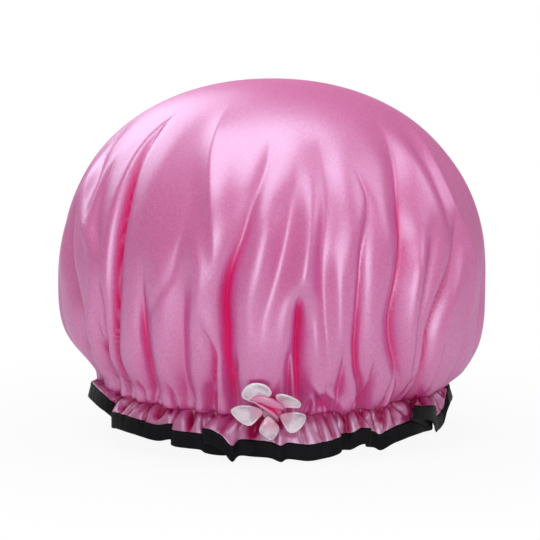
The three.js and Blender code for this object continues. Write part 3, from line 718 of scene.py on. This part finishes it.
def makeFrill():
    look = frillLook
    hem, hemLength = evenRing([*look["frontHem"], *backHem()], look["columns"])
    degrees, out, edge, lean = hem.T
    topDegrees = ringBlur(degrees, look["bunching"])
    gather = crownLook["gatherRadius"] - np.interp(topDegrees, crownDegrees, crownInward[-1], period=360)
    top = placed(gather - look["tuck"], topDegrees, gatherHeight + look["overlap"] + seamRise(topDegrees))
    low = placed(crownLook["gatherRadius"] + out, degrees, edge + look["edgeRoom"])
    tip = np.radians(lean)
    ribbon = low - (look["ribbonWidth"] * np.sin(tip))[:, None] * direction(degrees)
    ribbon[:, 2] = low[:, 2] + look["ribbonWidth"] * np.cos(tip)
    middle = 0.5 * (top + ribbon) + look["bulge"][0] * direction(0.5 * (degrees + topDegrees))
    middle[:, 2] += look["bulge"][1]
    upper = look["rows"] - look["ribbonRows"]
    t = np.arange(upper)[:, None, None] / upper
    cloth = (1 - t) ** 2 * top + 2 * t * (1 - t) * middle + t * t * ribbon
    t = np.linspace(0, 1, look["ribbonRows"])[:, None, None]
    points = np.concatenate([cloth, (1 - t) * ribbon + t * low])
    share = np.arange(look["rows"]) / upper
    inward = frillFolds(share, topDegrees)
    points -= inward[..., None] * gridNormals(points)
    # painted shade: more in the deeper folds, and over the top half, under the crown's edge
    deep = look["dark"] * smooth(*look["creaseShadeDepth"], inward)
    deep = deep + look["shadeUnderCrown"] * smooth(0.5, 0, share)[:, None]
    return points, hemLength, np.clip(deep, 0, look["dark"])


def frillCloth(points, hemLength):
    columns = points.shape[1]
    along = np.arange(columns) * hemLength / columns / cm
    down = soFar(gaps(points).mean(axis=1)) / cm
    return np.stack(np.meshgrid(along, down), axis=-1)


def ribbonLoops(points):
    # folded ribbon: two legs on the cloth's lower rows, joined under its edge
    look = frillLook
    legs = points[-look["ribbonRows"]:]
    square = gridNormals(points)[-look["ribbonRows"]:]
    near = look["ribbonSlot"] * square
    far = (look["ribbonSlot"] + look["ribbonThickness"]) * square
    down = unit(legs[-1] - legs[-3])
    foot = legs[-1]
    under = [foot + 0.8 * far[-1] + 0.45 * down, foot + 0.75 * down, foot - 0.8 * far[-1] + 0.45 * down]
    slot = [*(legs - near), foot + 0.3 * down, *(legs + near)[::-1]]
    return np.array([*(legs + far), *under, *(legs - far)[::-1], *slot])


ribbonLook = {
    "colour": (0.0022, 0.002, 0.0028, 1),
    "worn": (0.005, 0.0045, 0.006, 1),
    "ribs": 9.0,  # ribs to a centimetre
    "ribWave": 0.314,  # stretch at which the wave texture has one band to a centimetre
    "rowGap": 0.12,  # centimetres between the rows of points across the ribbon
}


def ribbonFinish(look):
    finish = newFinish("blackRibbon")
    rib = finish.wave("X", finish.flatCloth(look["ribs"] * look["ribWave"], 1.0))
    cloud = finish.noise(finish.body(), 60.0)
    return finish.show(finish.surface({
        "Base Color": finish.mixed(cloud, look["colour"], look["worn"]),
        "Roughness": 0.5 + 0.15 * rib,
        "Specular IOR Level": 0.12,
        "Sheen Weight": 0.01,
        "Normal": finish.bump(rib, 0.25, 0.15),
    }))


frillPoints, hemLength, frillDeep = makeFrill()
frillGrid = frillCloth(frillPoints, hemLength)
frill = makePiece("satinFrill", frillPoints, ringFaces(*frillPoints.shape[:2]), frillGrid, frillDeep)
thicken(frill, frillLook["thickness"], 0)
seat(frill, "cap", "pink_satin", satinFinish("frillSatinPaintedShade", frillShadedSatinLook), "satin_frill")

loops = ribbonLoops(frillPoints)
loopCloth = np.stack(np.meshgrid(frillGrid[0, :, 0], np.arange(len(loops)) * ribbonLook["rowGap"]), axis=-1)
binding = makePiece("edgeBinding", loops, ringFaces(*loops.shape[:2], closed=True), loopCloth)
seat(binding, "cap", "black_ribbon", ribbonFinish(ribbonLook), "edge_binding")
print("frill and ribbon made, hem", round(hemLength), "mm round")


# threads: tubes along runs of points

def tubes(name, runs, radius, sides=6):
    # closed tubes with rounded ends, all in one piece
    turn = np.arange(sides)[:, None] * fullTurn / sides
    capReach, capSwell = 0.7, 0.55
    points, faces, cloth = [], [], []
    for run in runs:
        run = np.asarray(run, float)
        ahead = unit(np.gradient(run, axis=0))
        first = unit(np.cross(ahead, (0.13, 0.21, 0.97)))  # square to a slant that no thread follows
        second = np.cross(ahead, first)
        pick = [0, *range(len(run)), len(run) - 1]
        middle = run[pick]
        middle[0] -= capReach * radius * ahead[0]
        middle[-1] += capReach * radius * ahead[-1]
        swell = radius * np.array([capSwell, *[1.0] * len(run), capSwell])
        spread = np.cos(turn) * first[pick][:, None] + np.sin(turn) * second[pick][:, None]
        for face in cappedFaces(len(pick), sides, start=len(points) * sides):
            faces.append(face[:1] + face[:0:-1])  # its outside turned out
        points.extend(middle[:, None] + swell[:, None, None] * spread)
        length = soFar(gaps(run))[pick] / cm
        cloth.extend(np.stack(np.meshgrid(length, np.arange(sides) / sides, indexing="ij"), axis=-1))
    return makePiece(name, points, faces, cloth)


def threadFinish(name, colour, darker, sheen):
    finish = newFinish(name)
    ply = finish.wave("DIAGONAL", finish.flatCloth(8.0, 8.0))
    return finish.show(finish.surface({
        "Base Color": finish.mixed(ply, darker, colour),
        "Roughness": 0.5 + 0.2 * ply,
        "Specular IOR Level": 0.3,
        "Sheen Weight": sheen,
        "Normal": finish.bump(ply, 0.4, 0.1),
    }))


stitchLook = {
    "radius": 0.2,
    "long": 3,  # columns of the frill from end to end of a stitch, and to the next
    "gap": 1,
    "row": 1,  # rows below the ribbon's upper edge
    "proud": 0.12,
    "dip": 0.25,
    "colours": ((0.004, 0.004, 0.005, 1), (0.002, 0.002, 0.002, 1)),
}


def hemStitches():
    # separate stitches along the ribbon's upper edge, each dipping in at its ends
    look = stitchLook
    columns = frillPoints.shape[1]
    row = frillLook["rows"] - frillLook["ribbonRows"] + look["row"]
    square = gridNormals(frillPoints)[row]
    outside = frillLook["ribbonSlot"] + frillLook["ribbonThickness"]
    lift = np.full((look["long"] + 1, 1), outside + look["proud"])
    lift[[0, -1]] -= look["dip"]
    runs = []
    for start in range(0, columns, look["long"] + look["gap"]):
        pick = np.arange(start, start + look["long"] + 1) % columns
        runs.append(frillPoints[row, pick] + lift * square[pick])
    return runs


topstitch = tubes("bindingTopstitch", hemStitches(), stitchLook["radius"])
blackThread = threadFinish("blackThread", *stitchLook["colours"], sheen=0.0)
seat(topstitch, "cap", "black_thread", blackThread, "binding_topstitch")


# lining bag, elastic and its sewing

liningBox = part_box("waterproof_lining")
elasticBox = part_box("elastic_band")
liningLook = {
    "inset": 17.0,  # inside the crown's outline, clear of its valleys, and below its top
    "topDrop": 9.0,
    "columns": 384,
    "rows": 64,
    "skirtRows": 4,  # from the gather line down
    "thickness": 0.3,
    "creases": 60,
    "creaseDepth": 7.2,
    "creaseStart": (3.5, 16),  # lengths above the gather line between which they deepen, clear of the elastic
    "creaseEnd": (130, 25),  # and between which they die out
    "creasePhase": 3.3,
    "slack": 1.1,
    "rim": 88.9,  # radius where it runs down behind the elastic
    "colours": ((0.80, 0.70, 0.76, 1), (0.86, 0.78, 0.83, 1)),
}


def pucker(degrees, count, phase):
    # rounded crests at 0 with narrow valleys at 1, at uneven spacing
    turn = np.radians(degrees)
    wave = count * turn / 2 + 1.1 * np.sin(7 * turn + phase) + 0.8 * np.sin(17 * turn + 2 * phase)
    return (1 - np.abs(np.sin(wave)) ** 0.8) * (0.75 + 0.25 * np.sin(5 * turn + phase))


def makeLining():
    look = liningLook
    radius, height, stops = crownOutline(look["rows"])
    above = stops[-1] - stops
    degrees = np.arange(look["columns"]) * 360 / look["columns"] - 180
    near = smooth(40, 0, above)
    reach = (1 - near) * (radius - look["inset"] * smooth(0, 60, radius)) + near * look["rim"]
    crease = look["creaseDepth"] * smooth(*look["creaseEnd"], above) * smooth(*look["creaseStart"], above)
    slack = look["slack"] * smooth(20, 90, stops) * smooth(10, 60, above)
    turn, level = np.radians(degrees), height[:, None]
    wander = np.sin(3 * turn + 0.05 * level) * np.sin(5 * turn - 0.04 * level)
    inward = crease[:, None] * pucker(degrees, look["creases"], look["creasePhase"])
    inward += slack[:, None] * (1 + wander)
    bag = placed(reach[:, None] - inward, degrees, level - look["topDrop"] * smooth(120, 20, stops)[:, None])
    down = np.linspace(gatherHeight, liningBox[0].z / mm, look["skirtRows"] + 1)[1:, None]
    skirt = placed(np.full_like(down, look["rim"]), degrees, down)
    return np.concatenate([bag, skirt])


def filmFinish(look):
    finish = newFinish("liningFilm")
    cloud = finish.noise(finish.body(), 18.0)
    matt = finish.noise(finish.body(), 900.0)
    return finish.show(finish.surface({
        "Base Color": finish.mixed(cloud, *look["colours"]),
        "Roughness": 0.26 + 0.16 * cloud,
        "Coat Weight": 0.25,
        "Coat Roughness": 0.2,
        "Normal": finish.bump(matt, 0.08, 0.1),
    }))


liningPoints = makeLining()
liningRows, liningColumns = liningPoints.shape[:2]
apex = np.array([[0, 0, liningPoints[0, 0, 2] + 0.05]])
liningFaces = ringFaces(liningRows, liningColumns, start=1)
for column in range(liningColumns):
    liningFaces.append((0, 1 + column, 1 + (column + 1) % liningColumns))
lining = makePiece("waterproofLining", np.concatenate([apex, liningPoints.reshape(-1, 3)]), liningFaces)
thicken(lining, liningLook["thickness"], -1)
seat(lining, "cap", "lining_film", filmFinish(liningLook), "waterproof_lining")

elasticLook = {
    "width": 6.0,
    "thickness": 1.2,
    "lap": 14.0,
    "columns": 240,
    "cords": 5,
    "groove": 0.18,  # share of the thickness lost between the cords
    "ripple": 0.0024,  # how its width varies along it
    "colours": ((0.62, 0.60, 0.58, 1), (0.82, 0.81, 0.79, 1)),
}


def makeElastic():
    # a ribbed tape whose last stretch rides up over its first, at the back
    look = elasticLook
    middle = elasticBox[1].x / mm - look["thickness"] / 2
    lapTurn = look["lap"] / middle
    turn = np.linspace(0, fullTurn + lapTurn, look["columns"])
    ride = smooth(fullTurn - 1.4 * lapTurn, fullTurn - 0.2 * lapTurn, turn) * look["thickness"]
    degrees = 180 - np.degrees(lapTurn) / 2 + np.degrees(turn)
    across = np.linspace(-1, 1, 4 * look["cords"] + 1)
    ridge = np.abs(np.cos(across * look["cords"] * math.pi / 2))
    cord = 0.5 * look["thickness"] * (1 - look["groove"] + look["groove"] * ridge)
    cord *= np.sqrt(np.clip(1.02 - across ** 8, 0.05, 1))  # thin at the edges
    thick = np.concatenate([cord, -cord[::-1]])
    up = np.concatenate([across, across[::-1]]) * look["width"] / 2
    ripple = 1 + look["ripple"] * np.sin(1.9 * np.arange(look["columns"]))[:, None]
    points = placed((middle - ride)[:, None] + thick, degrees[:, None], gatherHeight + up * ripple)
    cloth = np.stack(np.broadcast_arrays(turn[:, None] * middle, up + look["width"] / 2), axis=-1) / cm
    return makePiece("elasticBand", points, cappedFaces(*points.shape[:2]), cloth)


def elasticFinish(look):
    finish = newFinish("whiteElastic")
    rib = finish.wave("Y", finish.flatCloth(1.0, 4.2))
    knit = finish.noise(finish.flatCloth(60.0, 60.0), 1.0)
    return finish.show(finish.surface({
        "Base Color": finish.mixed(rib, *look["colours"]),
        "Roughness": 0.7 + 0.2 * knit,
        "Sheen Weight": 0.2,
        "Normal": finish.bump(rib + 0.4 * knit, 0.5, 0.25),
    }))


seat(makeElastic(), "cap", "white_elastic", elasticFinish(elasticLook), "elastic_band")

sewLook = {
    "stitches": 60,
    "swing": 2.0,
    "radius": 0.28,
    "proud": 0.25,
    "lapRoom": 0.6,  # degrees left free on each side of the lap
    "along": (0.02, 0.12, 0.5, 0.88, 0.98),  # places along a stitch, and how far it dips in there
    "dip": (0.3, 0.04, -0.06, 0.04, 0.3),
    "tackStitches": 9,
    "colours": ((0.62, 0.11, 0.31, 1), (0.34, 0.05, 0.16, 1)),
}


def zigzagRuns():
    # each slanting stitch is a run of its own that dips into the tape at both ends
    look = sewLook
    inside = elasticBox[1].x / mm - elasticLook["thickness"] - look["proud"]
    lapHalf = math.degrees(elasticLook["lap"] / 2 / inside) + look["lapRoom"]
    turns = np.linspace(180 + lapHalf, 540 - lapHalf, 2 * look["stitches"] + 1)
    share = np.array(look["along"])
    runs = []
    for k in range(2 * look["stitches"]):
        slant = (look["swing"] if k % 2 else -look["swing"]) * (2 * share - 1)
        degrees = turns[k] + share * (turns[k + 1] - turns[k])
        runs.append(placed(inside + np.array(look["dip"]), degrees, gatherHeight + slant))
    return runs


def tackRuns():
    # short bars one above the other, over the lap
    count = sewLook["tackStitches"]
    low, high = (np.array(corner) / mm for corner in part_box("elastic_bar_tack"))
    wide, tall = high[0] - low[0], high[2] - low[2]
    reach = (low[1] + high[1]) / 2
    runs = []
    for k in range(count):
        up = gatherHeight + tall * ((k + 0.5) / count - 0.5)
        slip = 0.12 * math.sin(2.3 * k)
        runs.append([
            (-wide / 2 + slip, reach + 0.2, up), (-wide / 4, reach - 0.1, up + 0.05),
            (wide / 4, reach - 0.1, up - 0.05), (wide / 2 + slip, reach + 0.2, up),
        ])
    return runs


pinkThread = threadFinish("pinkThread", *sewLook["colours"], sheen=0.2)
zigzag = tubes("elasticZigzag", zigzagRuns(), sewLook["radius"])
seat(zigzag, "cap", "pink_thread", pinkThread, "elastic_zigzag_thread")
barTack = tubes("elasticBarTack", tackRuns(), sewLook["radius"])
seat(barTack, "cap", "pink_thread", pinkThread, "elastic_bar_tack")
print("lining, elastic and sewing made")


# flower: five petals, folded middle, felt disc and the thread that ties it on

twist = next(joint for joint in frame["joints"] if joint["name"] == "flower_twist")
flowerSeat = Vector(twist["pos_m"]) / mm
flowerFace = Vector(twist["axis"]).normalized()
flowerRight = Vector((1, 0, 0))
flowerUp = flowerFace.cross(flowerRight)
flowerFrame = np.array([flowerRight, flowerUp, flowerFace])
flowerLook = {
    "petalSeat": 2.7,
    "thickness": 0.5,
    "bead": 0.5,
    "rise": 2.4,  # the petals are sewn above the middle of the felt
    "heart": 0.55,  # share of a petal's length where its rings close in
    # the rings, as shares of the way out to the edge
    "rings": (0.12, 0.3, 0.46, 0.6, 0.71, 0.79, 0.83, 0.86, 0.89, 0.92, 0.95, 0.975, 0.99, 1.0),
    # sewn end (across, up), direction, lift, length, half width, point of the tip (0 round, 1 sharp),
    # cup, curl, sideways fold, bend and how wide the sewn end stays on its two sides
    "petals": {
        "petal_upper_right": ((5.5, 2.3), 60, 9, 10.2, 7.6, 0.15, 0.0, -1.0, 0.0, 0.0, (0.32, 0.32)),
        "petal_upper_left": ((-7.8, 5.4), 92, 11, 12.6, 7.9, 0.0, 1.4, 2.4, 0.0, 0.0, (0.5, 0.9)),
        "petal_left": ((-4.8, -0.3), 187, 10, 16.5, 6.6, 0.45, 2.2, 3.0, -0.15, -2.4, (0.7, 0.75)),
        "petal_bottom": ((-2.2, -3.2), 279, 30, 12.8, 5.5, 0.75, 2.2, 1.8, 0.0, 0.0, (0.7, 0.6)),
        "petal_right": ((4.4, -2.6), 345, 10, 13.4, 7.0, 0.0, 3.4, 3.0, 0.3, 0.0, (0.8, 0.4)),
    },
    "rim": (0.93, 0.89, 0.92, 1),
    "colour": (0.90, 0.81, 0.90, 1),
    # painted shade for the satin's sheen, laid on the petals in soft blotches
    "shade": (0.54, 0.38, 0.52, 1),
    "tint": (0.78, 0.26, 0.44, 1),
    "tintReach": (7.0, 14.0),  # from the flower's middle, where the pink runs out
}


def onFlower(points, rise=0.0):
    return (np.asarray(points) + (0, rise, 0)) @ flowerFrame + np.array(flowerSeat)


def petalOutline(length, halfWidth, point, ends, count=88):
    # outline of a flat petal, with a narrower sewn end and a round or pointed tip
    widest = 0.58
    turn = np.arange(count) * fullTurn / count
    side = np.where(turn < math.pi, -1, 1)
    along = 0.5 - 0.5 * np.cos(turn)
    far = (along - widest) / np.where(along > widest, 1 - widest, widest)
    disc = np.sqrt(np.clip(1 - far ** 2, 0, 1))
    leaf = np.clip(np.sin(math.pi * along ** 0.85), 0, 1) ** 0.85
    sewn = np.where(side < 0, *ends)
    waist = sewn + (1 - sewn) * smooth(0.0, 0.6, along)
    width = (disc * (1 - point) + leaf * point) * waist * halfWidth
    return np.stack([along * length, side * width], axis=1)


def hump(values, middle, width):
    return np.exp(-(((values - middle) / width) ** 2))


def makePetal(name, spec):
    look = flowerLook
    sewn, turned, lift, length, halfWidth, point, cup, curl, sideFold, bend, ends = spec
    outline = petalOutline(length, halfWidth, point, ends)
    middle = np.array([look["heart"] * length, 0.0])
    shares = np.array(look["rings"])
    plain = look["thickness"] / 2
    # a roll at the rim and a dip inside it
    bead = hump(shares, 0.94, 0.035) - 0.6 * hump(shares, 0.85, 0.035)
    half = plain + look["bead"] * np.clip(bead, -0.35, 1)
    half = half * np.sqrt(np.clip(1 - ((shares - 0.95) / 0.051).clip(0, 1) ** 2, 0, 1))

    def surface(spots):
        along = np.clip(spots[..., 0] / length, 0, 1)
        across = spots[..., 1] / halfWidth
        rise = cup * across ** 2 * smooth(0, 0.5, along) - curl * along ** 3
        rise += 3.4 * abs(sideFold) * np.clip(across if sideFold >= 0 else -across, 0, 1) ** 2
        return rise + 0.4 * np.sin(4.0 * along + 2.6 * across + turned) * smooth(0.1, 0.5, along)

    front, back = [], []
    for share, thick in zip(shares, half):
        spots = middle + share * (outline - middle)
        rise = surface(spots)
        along = spots[:, 0] / length
        spots = spots + np.outer(bend * np.clip(along, 0, 1) ** 2, (0, 1))
        thick = plain + (thick - plain) * smooth(0.05, 0.4, along)
        front.append(np.column_stack([spots, rise + thick]))
        back.append(np.column_stack([spots, rise - thick]))
    hub = surface(middle)
    middle = middle + (0, bend * look["heart"] ** 2)
    rings = np.array([*front, *back[-2::-1]])
    inner = 1 - smooth(0.78, 0.96, np.array([*shares, *shares[-2::-1]]))  # 0 on the rim, 1 inside it
    inner = np.maximum(inner[:, None], 1 - smooth(0.1, 0.4, rings[..., 0] / length))  # no rim at the sewn end
    points = np.concatenate([[[*middle, hub + half[0]]], rings.reshape(-1, 3), [[*middle, hub - half[0]]]])
    count = len(outline)
    faces = ringFaces(len(rings), count, start=1)
    last = len(points) - 1
    for k in range(count):
        after = (k + 1) % count
        faces.append((0, 1 + k, 1 + after))
        faces.append((last, last - count + after, last - count + k))
    cloth = points[:, :2] / cm
    points[:, 2] -= plain
    up, about = math.radians(lift), math.radians(turned)
    tilt = np.array(Matrix.Rotation(about, 3, "Z") @ Matrix.Rotation(-up, 3, "Y"))
    points = onFlower(points @ tilt.T + (*sewn, look["petalSeat"]), look["rise"])
    return makePiece(name, points, faces, cloth, np.concatenate([[1], inner.ravel(), [1]]))


def petalFinish(look):
    finish = newFinish("petalSatin")
    here = finish.body()
    heart = tuple((flowerSeat + 2 * flowerFace + look["rise"] * flowerUp) * mm)
    away = finish.node("ShaderNodeVectorMath", {"operation": "DISTANCE"}, {0: here, 1: heart}, out="Value")
    near, far = look["tintReach"]
    tint = finish.ramp(away, near * mm, far * mm, 0.95, 0.0)
    floats = finish.noise(finish.flatCloth(12.0, 90.0), 1.0)
    # painted shade and sheen: soft blotches between a greyer mauve and the petal colour
    cloud = finish.ramp(finish.noise(here, 150.0), 0.32, 0.6)
    cloth = finish.mixed(cloud, look["shade"], look["colour"])
    cloth = finish.mixed(finish.deep(), look["rim"], cloth)
    return finish.show(finish.surface({
        "Base Color": finish.mixed(tint, cloth, look["tint"]),
        "Roughness": 0.3 + 0.14 * (floats - 0.5),
        "IOR": 2.1,
        "Specular IOR Level": 0.9,
        "Sheen Weight": 0.1,
        "Normal": finish.bump(floats, 0.15, 0.12),
    }))


petalSatin = petalFinish(flowerLook)
petals = {}
for node, spec in flowerLook["petals"].items():
    words = node.split("_")
    title = words[0] + "".join(word.capitalize() for word in words[1:])
    petals[node] = makePetal(title, spec)
    seat(petals[node], node + "_leaf", "petal_satin", petalSatin, node)

foldLook = {
    # line of each lip (across and up from the flower's middle), height, thickness, lean and side of the gap
    "lips": (
        (((-12.0, 7.4), (-4.5, 10.2), (2.0, 4.8), (6.4, 1.4)), 4.4, 6.0, 0.8, -1),
        (((-9.5, 5.4), (-2.0, 2.6), (2.6, -0.6), (3.2, -6.6)), 3.2, 2.4, -0.4, 1),
        (((-9.0, 5.6), (-2.0, 4.8), (2.4, 1.4), (4.6, -2.6)), 1.4, 4.6, 0.0, 0),
    ),
    "seat": 1.3,
    "steps": 41,
    "sides": 24,
    "cut": (13.0, 22.0),  # the strip before it was folded
}
roseLook = dict(satinLook, colour=(0.86, 0.10, 0.30, 1), paler=(0.92, 0.17, 0.38, 1), floats=(20.0, 70.0))


def makeFold():
    # a folded strip of pink satin: a broad lip and a thin one that part over the strip's own floor
    look = foldLook
    count = look["sides"]
    steps = np.linspace(0, 1, look["steps"])
    share = steps[:, None]
    rest = 1 - share
    full = 1 - (2 * share - 1) ** 2  # 0 at both ends of a lip
    turn = np.linspace(0, fullTurn, count, endpoint=False)
    up = 0.5 - 0.5 * np.cos(turn)
    points, faces, cloth, deep = [], [], [], []
    for line, height, thickness, lean, gap in look["lips"]:
        start, startPull, endPull, end = (np.array(spot) for spot in line)
        path = rest ** 3 * start + 3 * share * rest ** 2 * startPull
        path = path + 3 * share ** 2 * rest * endPull + share ** 3 * end
        ahead = unit(np.gradient(path, axis=0))
        sideways = np.stack([-ahead[:, 1], ahead[:, 0]], axis=1)
        wide = thickness / 2 * (0.3 + 0.7 * full) * np.sin(turn) * (0.65 + 0.45 * up)
        wide = wide + lean * up ** 1.5 * full
        rings = path[:, None] + wide[..., None] * sideways[:, None]
        tall = look["seat"] + up * height * (0.4 + 0.6 * full)
        # painted shade: on each lip's side towards the gap and all over the low lip beneath, fading out at
        # the ends
        shadePaint = np.clip(gap * np.sin(turn), 0, 1) ** 2 * (1 - 0.6 * up) if gap else np.ones(count)
        faces.extend(cappedFaces(len(steps), count, start=len(points) * count, turned=True))
        points.extend(np.concatenate([rings, tall[..., None]], axis=-1))
        deep.extend(0.9 * full * shadePaint)
        cloth.extend(np.stack(np.meshgrid(np.arange(count) * 0.06, steps * 1.4), axis=-1))
    points = onFlower(np.array(points).reshape(-1, 3), flowerLook["rise"])
    return makePiece("flowerCenterFold", points, faces, cloth, deep)


fold = makeFold()
seat(fold, "flower", "rose_satin", satinFinish("roseSatin", roseLook), "flower_center_fold")

feltLook = {
    "radius": 5.0,
    "thickness": 1.0,
    "sides": 64,
    # across its edge: shares of the radius and of half the thickness
    "section": ((0.5, -1), (0.9, -1), (0.975, -0.7), (1.0, 0), (0.975, 0.7), (0.9, 1), (0.5, 1)),
    "colours": ((0.55, 0.24, 0.36, 1), (0.74, 0.42, 0.54, 1)),
}


def makeFelt():
    look = feltLook
    turn = np.arange(look["sides"]) * fullTurn / look["sides"]
    uneven = 0.012 * np.sin(9 * turn) + 0.008 * np.sin(23 * turn + 1)
    half = look["thickness"] / 2
    rings = []
    for share, up in look["section"]:
        reach = look["radius"] * share * (1 + uneven * share)
        high = np.full_like(turn, half + up * half)
        rings.append(np.column_stack([reach * np.cos(turn), reach * np.sin(turn), high]))
    faces = cappedFaces(len(rings), look["sides"], turned=True)
    return makePiece("flowerBacking", onFlower(np.concatenate(rings)), faces)


def feltFinish(look):
    finish = newFinish("pinkFelt")
    fibre = finish.noise(finish.body(), 1400.0, 4.0)
    return finish.show(finish.surface({
        "Base Color": finish.mixed(fibre, *look["colours"]),
        "Roughness": 0.85 + 0.1 * fibre,
        "Sheen Weight": 0.5,
        "Normal": finish.bump(fibre, 0.7, 0.3),
    }))


seat(makeFelt(), "flower", "pink_felt", feltFinish(feltLook), "flower_backing")

shankLook = {"radius": 0.4, "spread": 0.42, "turns": 1.5, "steps": 19, "endRoom": 0.35}


def shankRuns():
    # two strands twisted round each other
    look = shankLook
    low, high = (np.array(corner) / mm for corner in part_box("flower_tack_thread"))
    along = np.linspace(low[1] + look["endRoom"], high[1] - look["endRoom"], look["steps"])
    runs = []
    for strand in (0, math.pi):
        turn = strand + np.linspace(0, fullTurn * look["turns"], look["steps"])
        across, up = look["spread"] * np.cos(turn), look["spread"] * np.sin(turn)
        runs.append(np.column_stack([across, along, (low[2] + high[2]) / 2 + up]))
    return runs


shank = tubes("flowerTackThread", shankRuns(), shankLook["radius"], sides=10)
seat(shank, "cap", "pink_thread", pinkThread, "flower_tack_thread")
print("flower made")


# sheets, as cut before they were gathered, rounds for crown and lining and strips for frill and ribbon: here
# only the hem's length and the petals' flat outlines are worked out, and nothing is kept

hemLength * mm
hemLength * mm
for node, petal in petals.items():
    length, halfWidth, point = flowerLook["petals"][node][3:6]
    across, along = petalOutline(length, halfWidth, point, flowerLook["petals"][node][-1]).T
    2 * halfWidth * mm
    length * mm


# stage: pale floor, soft studio light and the camera

stageLook = {
    "floorColour": (0.86, 0.86, 0.87, 1),
    "floorSize": 40.0,
    "paper": (0.92, 0.10, 0.36),  # painted shadow round the cap: how white the floor shows under it, and the radii where that fades
    "target": (0, 0, 0.1),
    "distance": 2.0,
    "elevation": 7.3,
    "sensor": 36,
    "frameWidth": 0.297,  # width of the picture at the target
    "picture": 540,  # pixels
    "landing": (272, 250),  # pixel of the picture where the target lands
    "white": (1, 1, 1, 1),
    "world": 0.12,
    "mirrored": 0.43,  # how much of the white background glossy cloth throws back
    "floorMirrored": 0.5,
    # place, width, length, watts and colour of each lamp, all turned towards the cap
    "lamps": (
        ((-0.05, -0.15, 1.35), 0.75, 1.5, 9.0, (1.0, 0.98, 1.0)),
        ((-0.65, 0.9, 0.85), 1.0, 0.8, 7.5, (1.0, 0.98, 1.0)),
        ((0.95, -0.2, 0.95), 0.8, 0.8, 2.5, (1.0, 0.98, 1.0)),
        ((0.1, -1.75, 0.38), 1.1, 1.4, 11.5, (1.0, 0.98, 0.99)),
    ),
}


def floorFinish(look):
    finish = newFinish("paleFloor")
    plain = finish.node("ShaderNodeBsdfDiffuse", {}, {"Color": look["floorColour"]})
    white = finish.node("ShaderNodeEmission", {}, {"Color": look["white"], "Strength": 1.0})
    away = finish.node("ShaderNodeVectorMath", {"operation": "LENGTH"}, {0: finish.body()}, out="Value")
    under, near, far = look["paper"]
    # painted shadow: near the cap more of the floor's grey lit surface shows, which also carries the lamps'
    # real shadow
    seen = finish.light("Is Camera Ray") * finish.ramp(away, near, far, under, 1.0)
    seen = seen + finish.light("Is Glossy Ray") * look["floorMirrored"]
    return finish.show(finish.blend(seen, plain, white))


def worldFinish(look):
    finish = Finish(bpy.data.worlds.new("studio"))
    room = finish.node("ShaderNodeBackground", {}, {"Strength": look["world"]})
    white = finish.node("ShaderNodeBackground", {}, {"Color": look["white"], "Strength": 1.0})
    seen = finish.light("Is Camera Ray") + finish.light("Is Glossy Ray") * look["mirrored"]
    return finish.show(finish.blend(seen, room, white), "ShaderNodeOutputWorld")


def aim(holder, place, towards):
    holder.location = place
    holder.rotation_mode = "QUATERNION"
    holder.rotation_quaternion = (Vector(towards) - Vector(place)).to_track_quat("-Z", "Y")
    bpy.context.scene.collection.objects.link(holder)


half = stageLook["floorSize"] / 2 / mm
corners = [(-half, -half, 0), (half, -half, 0), (half, half, 0), (-half, half, 0)]
floor = makePiece("floor", corners, [(0, 1, 2, 3)])
floor.data.materials.append(floorFinish(stageLook))
bpy.context.scene.world = worldFinish(stageLook)

target = Vector(stageLook["target"])
for place, width, length, watts, colour in stageLook["lamps"]:
    lamp = bpy.data.lights.new("softbox", "AREA")
    lamp.shape = "RECTANGLE"
    lamp.size = width
    lamp.size_y = length
    lamp.energy = watts
    lamp.color = colour
    aim(bpy.data.objects.new("softbox", lamp), place, target)

lens = bpy.data.cameras.new("camera")
lens.sensor_width = stageLook["sensor"]
lens.lens = stageLook["sensor"] * stageLook["distance"] / stageLook["frameWidth"]
lens.shift_x = 0.5 - stageLook["landing"][0] / stageLook["picture"]
lens.shift_y = stageLook["landing"][1] / stageLook["picture"] - 0.5
lens.clip_end = 20
tilt = math.radians(stageLook["elevation"])
back = Vector((0, -math.cos(tilt), math.sin(tilt)))
camera = bpy.data.objects.new("camera", lens)
aim(camera, target + back * stageLook["distance"], target)
bpy.context.scene.camera = camera
bpy.context.scene.view_settings.view_transform = "Standard"
print("stage made")

bpy.context.view_layer.update()
